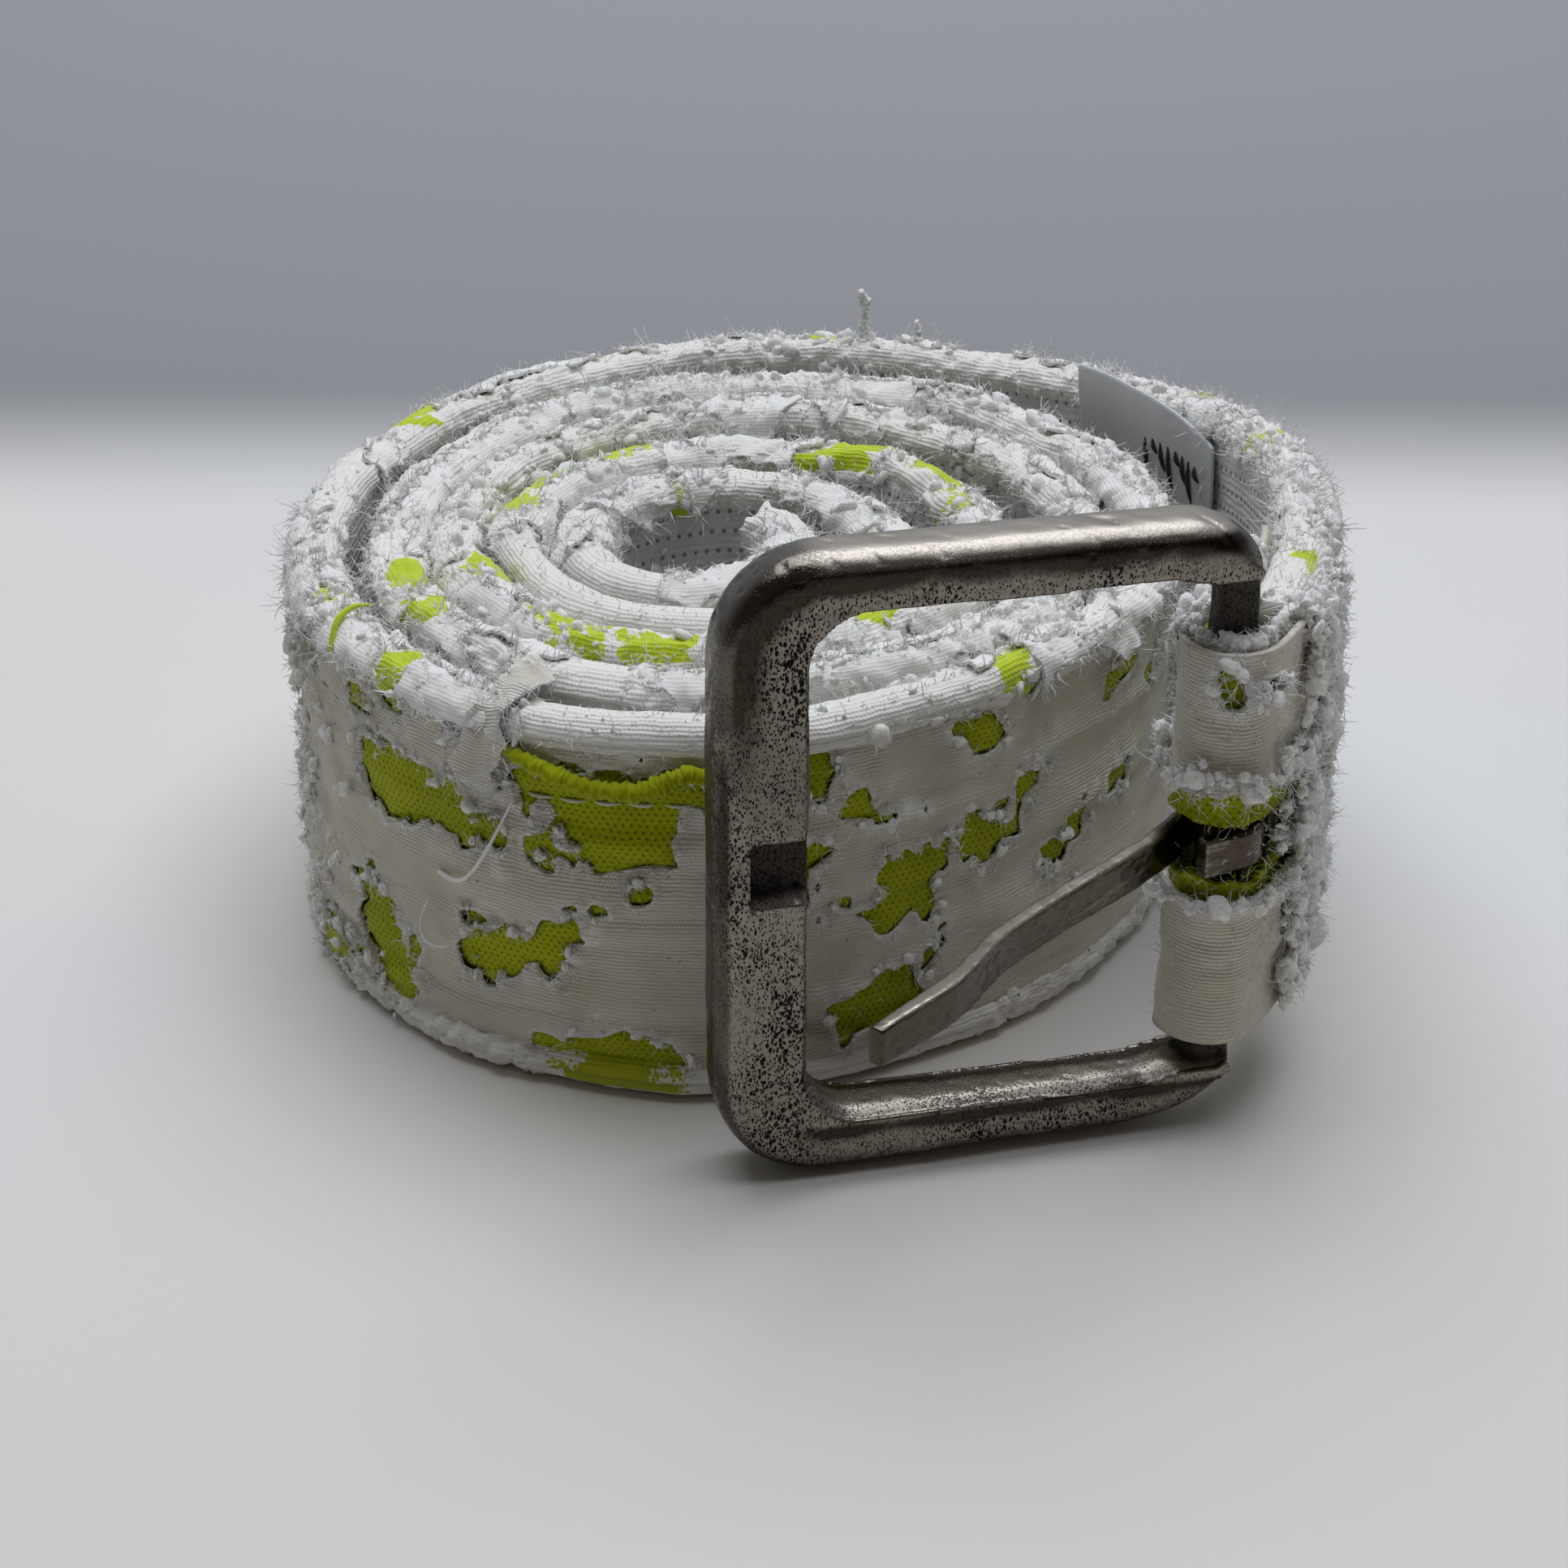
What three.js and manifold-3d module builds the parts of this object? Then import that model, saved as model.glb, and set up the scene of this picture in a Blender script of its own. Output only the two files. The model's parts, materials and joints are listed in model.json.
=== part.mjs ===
// A waist belt of layered knitted jersey, rolled up and standing on its edge, with a cast
// single-prong buckle on its outer end. Millimetres, +Z up, the coil's axis is vertical.
// The origin is under the middle of the whole object, on the surface that it stands on.
import * as THREE from 'three';
import { mergeVertices } from 'three/addons/utils/BufferGeometryUtils.js';
import Module from 'manifold-3d';

const wasm = await Module();
wasm.setup();

// ---- driving dimensions ----

const BELT_WIDTH = 34.5;
const GAP = 0.3;

// The strip's middle line is a spiral, counted in turns from the +X side, anticlockwise seen
// from above. Each entry is a turn number and the spiral's radius there. The belt is wound by
// hand, so the radius doesn't fall evenly.
const COIL_RADII = [
  [-0.155, 56.1], [-0.11, 49.7], [-0.055, 44.5], [0, 42.2], [0.06, 41.9], [0.125, 42.8],
  [0.25, 44.1], [0.38, 42.4], [0.5, 42.5], [0.64, 44.8], [0.72, 43.2], [0.8, 37],
  [0.88, 33.5], [1, 33], [1.25, 34.5], [1.5, 33.6], [1.65, 35], [1.75, 32.5],
  [1.85, 28.5], [2, 28], [2.25, 28], [2.5, 26.2], [2.7, 26], [2.85, 21.8],
  [3, 21.5], [3.25, 20.5], [3.5, 18.8], [3.7, 18.3], [4, 14.5], [4.5, 11.2], [5.15, 7],
];
const DRIFT_PER_TURN = new THREE.Vector2(-2, -1.33);
const BAR_TURN = -0.155;
const MILLIMETRES_PER_OUTER_TURN = 360;
const STRIP_START_TURN = -0.133;
const STRIP_END_TURN = 5.12;
const STATIONS_PER_TURN = 24;

// Layers of the strip, as distances out from its middle line, and the rolled edges' height.
const COVER = [1.55, 2.35];
const UNDERLAYER = [0.55, 1.25];
const CORE = [-0.95, 0.25];
const LINING = [-2.05, -1.25];
const EDGE_ROLL_HEIGHT = 3;
const EDGE_ROLL = [LINING[0], COVER[1]];
const THREAD_DEPTH = 0.35;
const THREAD_HEIGHT = 0.6;
const EDGE_STITCH_INSET = 7.3;
const EDGE_STITCH_START_TURN = 0.02;

// The buckle end rides up the buckle's bar, so the strip climbs to it over part of a turn.
const LOOP_BOTTOM = 8.5;
const LIFT_FULL_TURN = -0.11;
const LIFT_END_TURN = 0.2;

// Loop of jersey round the heel bar, and the slit that the prong comes out of.
const LOOP_RADIUS = 3.6;
const LOOP_HALF_THICKNESS = 0.4;
const LOOP_OUTER_TAIL = 14;
const LOOP_INNER_TAIL = 22;
const LOOP_MEETS_STRIP = 10;
const LOOP_THROAT = { distance: 6, outer: 3.3, inner: -3.1 };
const LOOP_UNDERLAY_RADIUS = 2.6;
const LOOP_UNDERLAY_HALF_THICKNESS = 0.3;
const LOOP_UNDERLAY_LENGTH = 7.6;
const LOOP_UNDERLAY_INSET = 0.8;
const LOOP_UNDERLAY_THROAT = { distance: 4, out: 2.5 };
const LOOP_UNDERLAY_END_OUT = { outer: 2.3, inner: -2.1 };
const WRAP_STEPS = 10;
const SLIT = { bottom: 21.2, top: 31, radius: 6.4, sides: 16 };
const SLIT_UNDERLAY_LIP = 2;

// Buckle: u runs from the heel bar's axis to the outer bar, v is down from the frame's
// middle, w is out of the frame's front.
const FRAME_YAW = 0.25;
const FRAME_MIDDLE_Z = 27;
const FRAME_HALF_HEIGHT = 26.7;
const ARM_TAPER = 0.2;
const FRAME_OPENING_HALF_HEIGHT = 21.4;
const FRAME_LENGTH = 41.4;
const FRAME_END_OVERHANG = 2;
const FRAME_DEPTH = 6;
const OUTER_BAR_WIDTH = 7.5;
const OUTER_CORNER_RADIUS = 8.5;
const INNER_CORNER_RADIUS = 4.2;
const ARM_END_RADIUS = 3;
const HEEL_SHOULDER_HALF_HEIGHT = 20.9;
const HEEL_SHOULDER_LENGTH = 2.6;
const ARM_ROOT_LENGTH = 6;
const ARM_ROOT_THINNING = 0.3;
const HEEL_BAR_FLATS = 3.4;
const EDGE_BEVEL = { width: 1.5, depth: 1.9, segments: 2 };
const OUTLINE_SEGMENTS = 3;
const NOTCH = { length: 5.2, height: 5.3, depth: 2.1, middleZ: 28 };

// Prong: one bent strip, its butt curled round the heel bar.
const PRONG_YAW = 0.86;
const PRONG_Z = 25.5;
const PRONG_WIDTH = 3.4;
const PRONG_HALF_THICKNESS = 0.65;
const PRONG_LENGTH = 42.8;
const PRONG_CURL_RADIUS = 2.9;
const PRONG_CURL_END = THREE.MathUtils.degToRad(60);
const PRONG_BUTT = [4.4, 1.4];
const PRONG_CURL_STEPS = 12;
const PRONG_CURL_ROOT = THREE.MathUtils.degToRad(279);
const PRONG_STRAIGHT_START = 5;
const PRONG_LINE_W = -1.6;
const PRONG_TIP_W = 0.1;
const PRONG_CRANK = [27.5, 34.5];

// Prong holes near the tail, in the innermost turn.
const PRONG_HOLE_TURNS = [4.02, 4.2, 4.42, 4.66, 4.93];
const PRONG_HOLE_RADIUS = 2.1;
const PRONG_HOLE_LENGTH = 5.4;
const PRONG_HOLE_SIDES = 10;

// Sewn-in label on the inner face, beside the buckle end.
const LABEL_TURNS = [0.048, 0.131];
const LABEL = [-2.75, -2.35];
const LABEL_BOTTOM = 10;
const LABEL_TOP = 34.9;
const LABEL_STITCH_INSET_TURNS = 0.006;
const LABEL_STITCH_HALF_TURNS = 0.002;
const LABEL_STITCH_MARGIN = 1;
const FOLD_STITCH_DISTANCE = 11.5;
const FOLD_STITCH_INSET = 2;

const COLOURS = {
  white: 0xd9d8d2, lining: 0xb9bbb2, green: 0xb6d313, thread: 0xe8e8e0,
  silver: 0x8a8580, label: 0xc9cccc, core: 0xcfcdc4,
};

// ---- the strip's middle line ----

const radiusCurve = new THREE.CubicInterpolant(
  COIL_RADII.map((entry) => entry[0]),
  COIL_RADII.map((entry) => entry[1]),
  1,
);

function middleLine(turn) {
  const radius = radiusCurve.evaluate(turn)[0];
  const angle = 2 * Math.PI * turn;
  const x = DRIFT_PER_TURN.x * turn + radius * Math.cos(angle);
  const y = DRIFT_PER_TURN.y * turn + radius * Math.sin(angle);
  return new THREE.Vector2(x, y);
}

function outward(turn) {
  const step = 0.002;
  const direction = middleLine(turn + step).sub(middleLine(turn - step)).normalize();
  return new THREE.Vector2(direction.y, -direction.x);
}

// The spiral is defined from BAR_TURN on, so its direction at the bar is taken just past it.
const bar = middleLine(BAR_TURN + 0.002);
const barOutward = outward(BAR_TURN + 0.004);
const alongStrip = new THREE.Vector2(-barOutward.y, barOutward.x);

function smooth(value) {
  const clamped = THREE.MathUtils.clamp(value, 0, 1);
  return clamped * clamped * (3 - 2 * clamped);
}

// Height that the strip has climbed: only the stretch beside the buckle climbs.
function lift(turn) {
  return LOOP_BOTTOM * smooth((LIFT_END_TURN - turn) / (LIFT_END_TURN - LIFT_FULL_TURN));
}

// ---- solids ----

// Shared vertices merged, and the slivers that merging flattens left out.
function plain(geometry) {
  const copy = geometry.clone();
  copy.deleteAttribute('normal');
  copy.deleteAttribute('uv');
  const merged = mergeVertices(copy, 1e-4);
  const index = merged.index.array;
  const kept = [];
  for (let i = 0; i < index.length; i += 3) {
    const [a, b, c] = [index[i], index[i + 1], index[i + 2]];
    if (a !== b && b !== c && c !== a) {
      kept.push(a, b, c);
    }
  }
  merged.setIndex(kept);
  return merged;
}

function toSolid(geometry) {
  const merged = plain(geometry);
  const vertProperties = new Float32Array(merged.attributes.position.array);
  const triVerts = new Uint32Array(merged.index.array);
  return new wasm.Manifold(new wasm.Mesh({ numProp: 3, vertProperties, triVerts }));
}

function toGeometry(solid) {
  const mesh = solid.getMesh();
  const geometry = new THREE.BufferGeometry();
  geometry.setAttribute('position', new THREE.BufferAttribute(mesh.vertProperties, 3));
  geometry.setIndex(new THREE.BufferAttribute(mesh.triVerts, 1));
  return geometry;
}

// The outline as points, without the doubled ones where an arc meets its neighbour.
function withoutDoubles(shape, curveSegments) {
  const points = shape.getPoints(curveSegments);
  const kept = points.filter((point, i) => point.distanceTo(points.at(i - 1)) > 1e-3);
  return new THREE.Shape(kept);
}

function extrudeUp(shape, bottom, top) {
  const options = { depth: top - bottom, bevelEnabled: false };
  const geometry = new THREE.ExtrudeGeometry(shape, options);
  geometry.translate(0, 0, bottom);
  return geometry;
}

// A band with square edges: both its faces follow a line of points, offset along normals.
function bandShape(points, normals, offsets) {
  const outer = points.map((point, i) => point.clone().addScaledVector(normals[i], offsets[1]));
  const inner = points.map((point, i) => point.clone().addScaledVector(normals[i], offsets[0]));
  return new THREE.Shape(outer.concat(inner.reverse()));
}

// Every band shares the same corners, so that neighbouring bands have parallel facets.
// A band that starts or ends between two corners does so on the facet between them.
function onFacet(turn, along) {
  const before = Math.floor(turn * STATIONS_PER_TURN) / STATIONS_PER_TURN;
  if (before < STRIP_START_TURN) {
    return along(turn);
  }
  const share = (turn - before) * STATIONS_PER_TURN;
  return along(before).lerp(along(before + 1 / STATIONS_PER_TURN), share);
}

function stationsBetween(start, end) {
  const stations = [start];
  for (let k = Math.floor(start * STATIONS_PER_TURN) + 1; k / STATIONS_PER_TURN < end; k += 1) {
    stations.push(k / STATIONS_PER_TURN);
  }
  stations.push(end);
  return stations;
}

// A box bent along the strip: its length follows the stations, its thickness the offsets.
function stripBand(offsets, bottom, top, turns = [STRIP_START_TURN, STRIP_END_TURN]) {
  const stations = stationsBetween(turns[0], turns[1]);
  const count = stations.length - 1;
  const geometry = new THREE.BoxGeometry(count, 1, 1, count, 1, 1);
  geometry.translate(count / 2, 0, 0);
  const position = geometry.attributes.position;
  for (let i = 0; i < position.count; i += 1) {
    const turn = stations[Math.round(position.getX(i))];
    const out = position.getY(i) < 0 ? offsets[1] : offsets[0];
    const height = position.getZ(i) < 0 ? bottom : top;
    const place = onFacet(turn, middleLine).addScaledVector(onFacet(turn, outward), out);
    position.setXYZ(i, place.x, place.y, height + lift(turn));
  }
  return geometry;
}

// The prong holes go through every layer of the tail at half the belt's width.
function punchHoles(geometry) {
  let solid = toSolid(geometry);
  for (const turn of PRONG_HOLE_TURNS) {
    const radius = PRONG_HOLE_RADIUS;
    const punch = new THREE.CylinderGeometry(radius, radius, PRONG_HOLE_LENGTH, PRONG_HOLE_SIDES);
    const normal = outward(turn);
    punch.rotateZ(Math.atan2(normal.y, normal.x) + Math.PI / 2);
    const centre = middleLine(turn);
    punch.translate(centre.x, centre.y, BELT_WIDTH / 2);
    solid = solid.subtract(toSolid(punch));
  }
  return toGeometry(solid);
}

const layerBottom = EDGE_ROLL_HEIGHT + GAP;
const layerTop = BELT_WIDTH - EDGE_ROLL_HEIGHT - GAP;

function layer(offsets) {
  return punchHoles(stripBand(offsets, layerBottom, layerTop));
}

function topEdgeRoll() {
  return stripBand(EDGE_ROLL, BELT_WIDTH - EDGE_ROLL_HEIGHT, BELT_WIDTH);
}

function bottomEdgeRoll() {
  return stripBand(EDGE_ROLL, 0, EDGE_ROLL_HEIGHT);
}

function edgeStitching(height) {
  const offsets = [COVER[1] + GAP, COVER[1] + GAP + THREAD_DEPTH];
  const half = THREAD_HEIGHT / 2;
  return stripBand(offsets, height - half, height + half, [EDGE_STITCH_START_TURN, STRIP_END_TURN]);
}

function label() {
  return stripBand(LABEL, LABEL_BOTTOM, LABEL_TOP, LABEL_TURNS);
}

function labelStitching(turn) {
  const offsets = [LABEL[0] - GAP - THREAD_DEPTH, LABEL[0] - GAP];
  const turns = [turn - LABEL_STITCH_HALF_TURNS, turn + LABEL_STITCH_HALF_TURNS];
  const bottom = LABEL_BOTTOM + LABEL_STITCH_MARGIN;
  const top = LABEL_TOP - LABEL_STITCH_MARGIN;
  return stripBand(offsets, bottom, top, turns);
}

// A plan position given as a distance from the bar along the strip, and a distance out.
function besideStrip(distance, out) {
  const turn = BAR_TURN + distance / MILLIMETRES_PER_OUTER_TURN;
  return middleLine(turn).addScaledVector(outward(turn), out);
}

function aroundBar(radius, angle) {
  const point = bar.clone().addScaledVector(barOutward, radius * Math.cos(angle));
  return point.addScaledVector(alongStrip, radius * Math.sin(angle));
}

// Middle line of a wrap that lies on the strip's outer face, goes round the bar's far side
// and comes back on the inner face.
function wrapLine(radius, outerLine, innerLine) {
  const points = outerLine.map(([distance, out]) => besideStrip(distance, out));
  for (let i = 0; i <= WRAP_STEPS; i += 1) {
    points.push(aroundBar(radius, -(Math.PI * i) / WRAP_STEPS));
  }
  return points.concat(innerLine.map(([distance, out]) => besideStrip(distance, out)));
}

function wrapBand(line, halfThickness, bottom, top) {
  const normals = line.map((_, i) => {
    const before = line[Math.max(0, i - 1)];
    const after = line[Math.min(line.length - 1, i + 1)];
    const direction = after.clone().sub(before).normalize();
    return new THREE.Vector2(direction.y, -direction.x);
  });
  return extrudeUp(bandShape(line, normals, [-halfThickness, halfThickness]), bottom, top);
}

// Cuts the prong's slit; the lip is how far this layer reaches past the cover's slit edges.
function cutSlit(geometry, lip) {
  const height = SLIT.top - SLIT.bottom - 2 * lip;
  const slit = new THREE.CylinderGeometry(SLIT.radius, SLIT.radius, height, SLIT.sides);
  slit.rotateX(Math.PI / 2);
  slit.translate(bar.x, bar.y, (SLIT.top + SLIT.bottom) / 2);
  return toGeometry(toSolid(geometry).subtract(toSolid(slit)));
}

function buckleLoop() {
  const outerOut = COVER[1] + GAP + LOOP_HALF_THICKNESS;
  const innerOut = LINING[0] - GAP - LOOP_HALF_THICKNESS;
  const outerLine = [
    [LOOP_OUTER_TAIL, outerOut],
    [LOOP_MEETS_STRIP, outerOut],
    [LOOP_THROAT.distance, LOOP_THROAT.outer],
  ];
  const innerLine = [
    [LOOP_THROAT.distance, LOOP_THROAT.inner],
    [LOOP_MEETS_STRIP, innerOut],
    [(LOOP_MEETS_STRIP + LOOP_INNER_TAIL) / 2, innerOut],
    [LOOP_INNER_TAIL, innerOut],
  ];
  const line = wrapLine(LOOP_RADIUS, outerLine, innerLine);
  return cutSlit(wrapBand(line, LOOP_HALF_THICKNESS, LOOP_BOTTOM, LOOP_BOTTOM + BELT_WIDTH), 0);
}

function loopUnderlay() {
  const throat = LOOP_UNDERLAY_THROAT;
  const outerLine = [
    [LOOP_UNDERLAY_LENGTH, LOOP_UNDERLAY_END_OUT.outer],
    [throat.distance, throat.out],
  ];
  const innerLine = [
    [throat.distance, -throat.out],
    [LOOP_UNDERLAY_LENGTH, LOOP_UNDERLAY_END_OUT.inner],
  ];
  const line = wrapLine(LOOP_UNDERLAY_RADIUS, outerLine, innerLine);
  const bottom = LOOP_BOTTOM + LOOP_UNDERLAY_INSET;
  const top = LOOP_BOTTOM + BELT_WIDTH - LOOP_UNDERLAY_INSET;
  const band = wrapBand(line, LOOP_UNDERLAY_HALF_THICKNESS, bottom, top);
  return cutSlit(band, SLIT_UNDERLAY_LIP);
}

// A row of thread down the fold, on the outer face (side 1) or on the inner face (side -1).
function foldStitching(side) {
  const face = side > 0 ? COVER[1] : -LINING[0];
  const near = face + 2 * LOOP_HALF_THICKNESS + 2 * GAP;
  const half = THREAD_HEIGHT / 2;
  const corners = [[-half, near], [half, near], [half, near + THREAD_DEPTH], [-half, near + THREAD_DEPTH]];
  const points = corners.map(([step, out]) => besideStrip(FOLD_STITCH_DISTANCE + step, side * out));
  const bottom = LOOP_BOTTOM + FOLD_STITCH_INSET;
  const top = LOOP_BOTTOM + BELT_WIDTH - FOLD_STITCH_INSET;
  return extrudeUp(new THREE.Shape(points), bottom, top);
}

// ---- buckle ----

// Puts a solid drawn in u, v, w into the row's frame, turned by its yaw about the bar.
function placeOnBar(geometry, yaw, middleZ) {
  const uAxis = new THREE.Vector3(-Math.cos(yaw), -Math.sin(yaw), 0);
  const vAxis = new THREE.Vector3(0, 0, -1);
  const wAxis = new THREE.Vector3().crossVectors(uAxis, vAxis);
  const matrix = new THREE.Matrix4().makeBasis(uAxis, vAxis, wAxis);
  matrix.setPosition(bar.x, bar.y, middleZ);
  return geometry.applyMatrix4(matrix);
}

function frameOutline() {
  const shape = new THREE.Shape();
  const quarter = Math.PI / 2;
  const endU = ARM_END_RADIUS - FRAME_END_OVERHANG;
  const endV = FRAME_HALF_HEIGHT - ARM_TAPER - ARM_END_RADIUS;
  const cornerU = FRAME_LENGTH - OUTER_CORNER_RADIUS;
  const cornerV = FRAME_HALF_HEIGHT - OUTER_CORNER_RADIUS;
  const openingU = FRAME_LENGTH - OUTER_BAR_WIDTH;
  const innerU = openingU - INNER_CORNER_RADIUS;
  const innerV = FRAME_OPENING_HALF_HEIGHT - INNER_CORNER_RADIUS;
  const rootV = FRAME_OPENING_HALF_HEIGHT + ARM_ROOT_THINNING;
  shape.moveTo(-FRAME_END_OVERHANG, HEEL_SHOULDER_HALF_HEIGHT);
  shape.lineTo(-FRAME_END_OVERHANG, endV);
  shape.absarc(endU, endV, ARM_END_RADIUS, 2 * quarter, quarter, true);
  shape.absarc(cornerU, cornerV, OUTER_CORNER_RADIUS, quarter, 0, true);
  shape.absarc(cornerU, -cornerV, OUTER_CORNER_RADIUS, 0, -quarter, true);
  shape.absarc(endU, -endV, ARM_END_RADIUS, -quarter, -2 * quarter, true);
  shape.lineTo(-FRAME_END_OVERHANG, -HEEL_SHOULDER_HALF_HEIGHT);
  shape.lineTo(HEEL_SHOULDER_LENGTH, -HEEL_SHOULDER_HALF_HEIGHT);
  shape.lineTo(ARM_ROOT_LENGTH, -rootV);
  shape.absarc(innerU, -innerV, INNER_CORNER_RADIUS, -quarter, 0, false);
  shape.absarc(innerU, innerV, INNER_CORNER_RADIUS, 0, quarter, false);
  shape.lineTo(ARM_ROOT_LENGTH, rootV);
  shape.lineTo(HEEL_SHOULDER_LENGTH, HEEL_SHOULDER_HALF_HEIGHT);
  return shape;
}

function heelBar() {
  const cornerRadius = HEEL_BAR_FLATS / 2 / Math.cos(Math.PI / 8);
  const length = 2 * (HEEL_SHOULDER_HALF_HEIGHT + 1);
  const geometry = new THREE.CylinderGeometry(cornerRadius, cornerRadius, length, 8);
  geometry.rotateY(Math.PI / 8);
  return geometry;
}

function prongNotch() {
  const reach = 2;
  const geometry = new THREE.BoxGeometry(NOTCH.length + reach, NOTCH.height, NOTCH.depth + reach);
  const u = FRAME_LENGTH - OUTER_BAR_WIDTH + (NOTCH.length - reach) / 2;
  const w = FRAME_DEPTH / 2 - NOTCH.depth + (NOTCH.depth + reach) / 2;
  geometry.translate(u, FRAME_MIDDLE_Z - NOTCH.middleZ, w);
  return geometry;
}

function buckleFrame() {
  const casting = new THREE.ExtrudeGeometry(withoutDoubles(frameOutline(), OUTLINE_SEGMENTS), {
    depth: FRAME_DEPTH - 2 * EDGE_BEVEL.depth,
    bevelThickness: EDGE_BEVEL.depth,
    bevelSize: EDGE_BEVEL.width,
    bevelOffset: -EDGE_BEVEL.width,
    bevelSegments: EDGE_BEVEL.segments,
  });
  casting.translate(0, 0, EDGE_BEVEL.depth - FRAME_DEPTH / 2);
  const solid = toSolid(casting).add(toSolid(heelBar())).subtract(toSolid(prongNotch()));
  return placeOnBar(toGeometry(solid), FRAME_YAW, FRAME_MIDDLE_Z);
}

// Side view of the prong: the strip's middle line from its cut butt, in front of the strip,
// round the bar to the tip.
function prongLine() {
  const line = [new THREE.Vector2(PRONG_BUTT[0], PRONG_BUTT[1])];
  for (let i = 0; i <= PRONG_CURL_STEPS; i += 1) {
    const angle = THREE.MathUtils.lerp(PRONG_CURL_END, PRONG_CURL_ROOT, i / PRONG_CURL_STEPS);
    const u = PRONG_CURL_RADIUS * Math.cos(angle);
    const w = PRONG_CURL_RADIUS * Math.sin(angle);
    line.push(new THREE.Vector2(u, w));
  }
  line.push(new THREE.Vector2(PRONG_STRAIGHT_START, PRONG_LINE_W));
  line.push(new THREE.Vector2(PRONG_CRANK[0], PRONG_LINE_W));
  line.push(new THREE.Vector2(PRONG_CRANK[1], PRONG_TIP_W));
  line.push(new THREE.Vector2(PRONG_LENGTH, PRONG_TIP_W));
  return line;
}

function prong() {
  const geometry = wrapBand(prongLine(), PRONG_HALF_THICKNESS, -PRONG_WIDTH / 2, PRONG_WIDTH / 2);
  geometry.rotateX(Math.PI / 2);
  return placeOnBar(geometry, PRONG_YAW, PRONG_Z);
}

// ---- assembly ----

function fabric(color) {
  return new THREE.MeshStandardMaterial({ color, roughness: 0.95, metalness: 0 });
}

function metal(color) {
  return new THREE.MeshStandardMaterial({ color, roughness: 0.42, metalness: 1 });
}

const leftStitchTurn = LABEL_TURNS[1] - LABEL_STITCH_INSET_TURNS;
const rightStitchTurn = LABEL_TURNS[0] + LABEL_STITCH_INSET_TURNS;

const pieces = [
  ['buckle_frame', buckleFrame(), metal(COLOURS.silver)],
  ['prong', prong(), metal(COLOURS.silver)],
  ['outer_cover', layer(COVER), fabric(COLOURS.white)],
  ['green_underlayer', layer(UNDERLAYER), fabric(COLOURS.green)],
  ['belt_core', layer(CORE), fabric(COLOURS.core)],
  ['lining', layer(LINING), fabric(COLOURS.lining)],
  ['top_edge_roll', topEdgeRoll(), fabric(COLOURS.white)],
  ['bottom_edge_roll', bottomEdgeRoll(), fabric(COLOURS.white)],
  ['top_edge_stitching', edgeStitching(BELT_WIDTH - EDGE_STITCH_INSET), fabric(COLOURS.thread)],
  ['bottom_edge_stitching', edgeStitching(EDGE_STITCH_INSET), fabric(COLOURS.thread)],
  ['buckle_loop', buckleLoop(), fabric(COLOURS.white)],
  ['loop_underlay', loopUnderlay(), fabric(COLOURS.green)],
  ['fold_stitching_outer', foldStitching(1), fabric(COLOURS.thread)],
  ['fold_stitching_inner', foldStitching(-1), fabric(COLOURS.thread)],
  ['label', label(), fabric(COLOURS.label)],
  ['label_stitching_left', labelStitching(leftStitchTurn), fabric(COLOURS.thread)],
  ['label_stitching_right', labelStitching(rightStitchTurn), fabric(COLOURS.thread)],
];

const belt = new THREE.Group();
for (const [name, geometry, material] of pieces) {
  const mesh = new THREE.Mesh(geometry, material);
  mesh.name = name;
  belt.add(mesh);
}

const wholeBox = new THREE.Box3().setFromObject(belt);
const middle = wholeBox.getCenter(new THREE.Vector3());
belt.position.set(-middle.x, -middle.y, -wholeBox.min.z);

export default belt;
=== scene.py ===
import json
import math

import bmesh
import bpy
import numpy as np
from mathutils import Matrix, Vector


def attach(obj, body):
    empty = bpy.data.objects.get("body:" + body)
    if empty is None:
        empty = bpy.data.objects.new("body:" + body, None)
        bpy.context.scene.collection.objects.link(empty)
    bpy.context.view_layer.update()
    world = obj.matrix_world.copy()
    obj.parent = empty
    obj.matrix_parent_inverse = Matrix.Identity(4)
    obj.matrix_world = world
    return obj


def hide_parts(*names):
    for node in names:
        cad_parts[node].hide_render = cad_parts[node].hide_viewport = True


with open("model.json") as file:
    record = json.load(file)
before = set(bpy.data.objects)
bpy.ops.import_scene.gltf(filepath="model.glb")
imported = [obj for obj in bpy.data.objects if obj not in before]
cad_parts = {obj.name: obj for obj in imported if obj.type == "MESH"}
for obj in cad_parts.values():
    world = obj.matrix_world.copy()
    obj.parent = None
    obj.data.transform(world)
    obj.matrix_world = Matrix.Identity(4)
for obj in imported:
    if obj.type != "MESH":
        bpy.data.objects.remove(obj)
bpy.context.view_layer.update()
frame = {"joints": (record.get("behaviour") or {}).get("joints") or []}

MM = 0.001
TAU = 2 * math.pi
SEED = 11
rng = np.random.default_rng(SEED)

# ---- the strip, as the CAD source has it ----
BELT_WIDTH = 34.5
# Turn, and distance of the strip's middle line from the coil's drifting centre.
COIL_RADII = np.array([
    [-0.155, 56.1], [-0.11, 49.7], [-0.055, 44.5], [0, 42.2], [0.06, 41.9], [0.125, 42.8],
    [0.25, 44.1], [0.38, 42.4], [0.5, 42.5], [0.64, 44.8], [0.72, 43.2], [0.8, 37],
    [0.88, 33.5], [1, 33], [1.25, 34.5], [1.5, 33.6], [1.65, 35], [1.75, 32.5],
    [1.85, 28.5], [2, 28], [2.25, 28], [2.5, 26.2], [2.7, 26], [2.85, 21.8],
    [3, 21.5], [3.25, 20.5], [3.5, 18.8], [3.7, 18.3], [4, 14.5], [4.5, 11.2], [5.15, 7],
])
DRIFT_PER_TURN = np.array([-2, -1.33])
BAR_TURN, COIL_END = -0.155, 5.145
STRIP_TURNS = (-0.133, 5.12)
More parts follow.
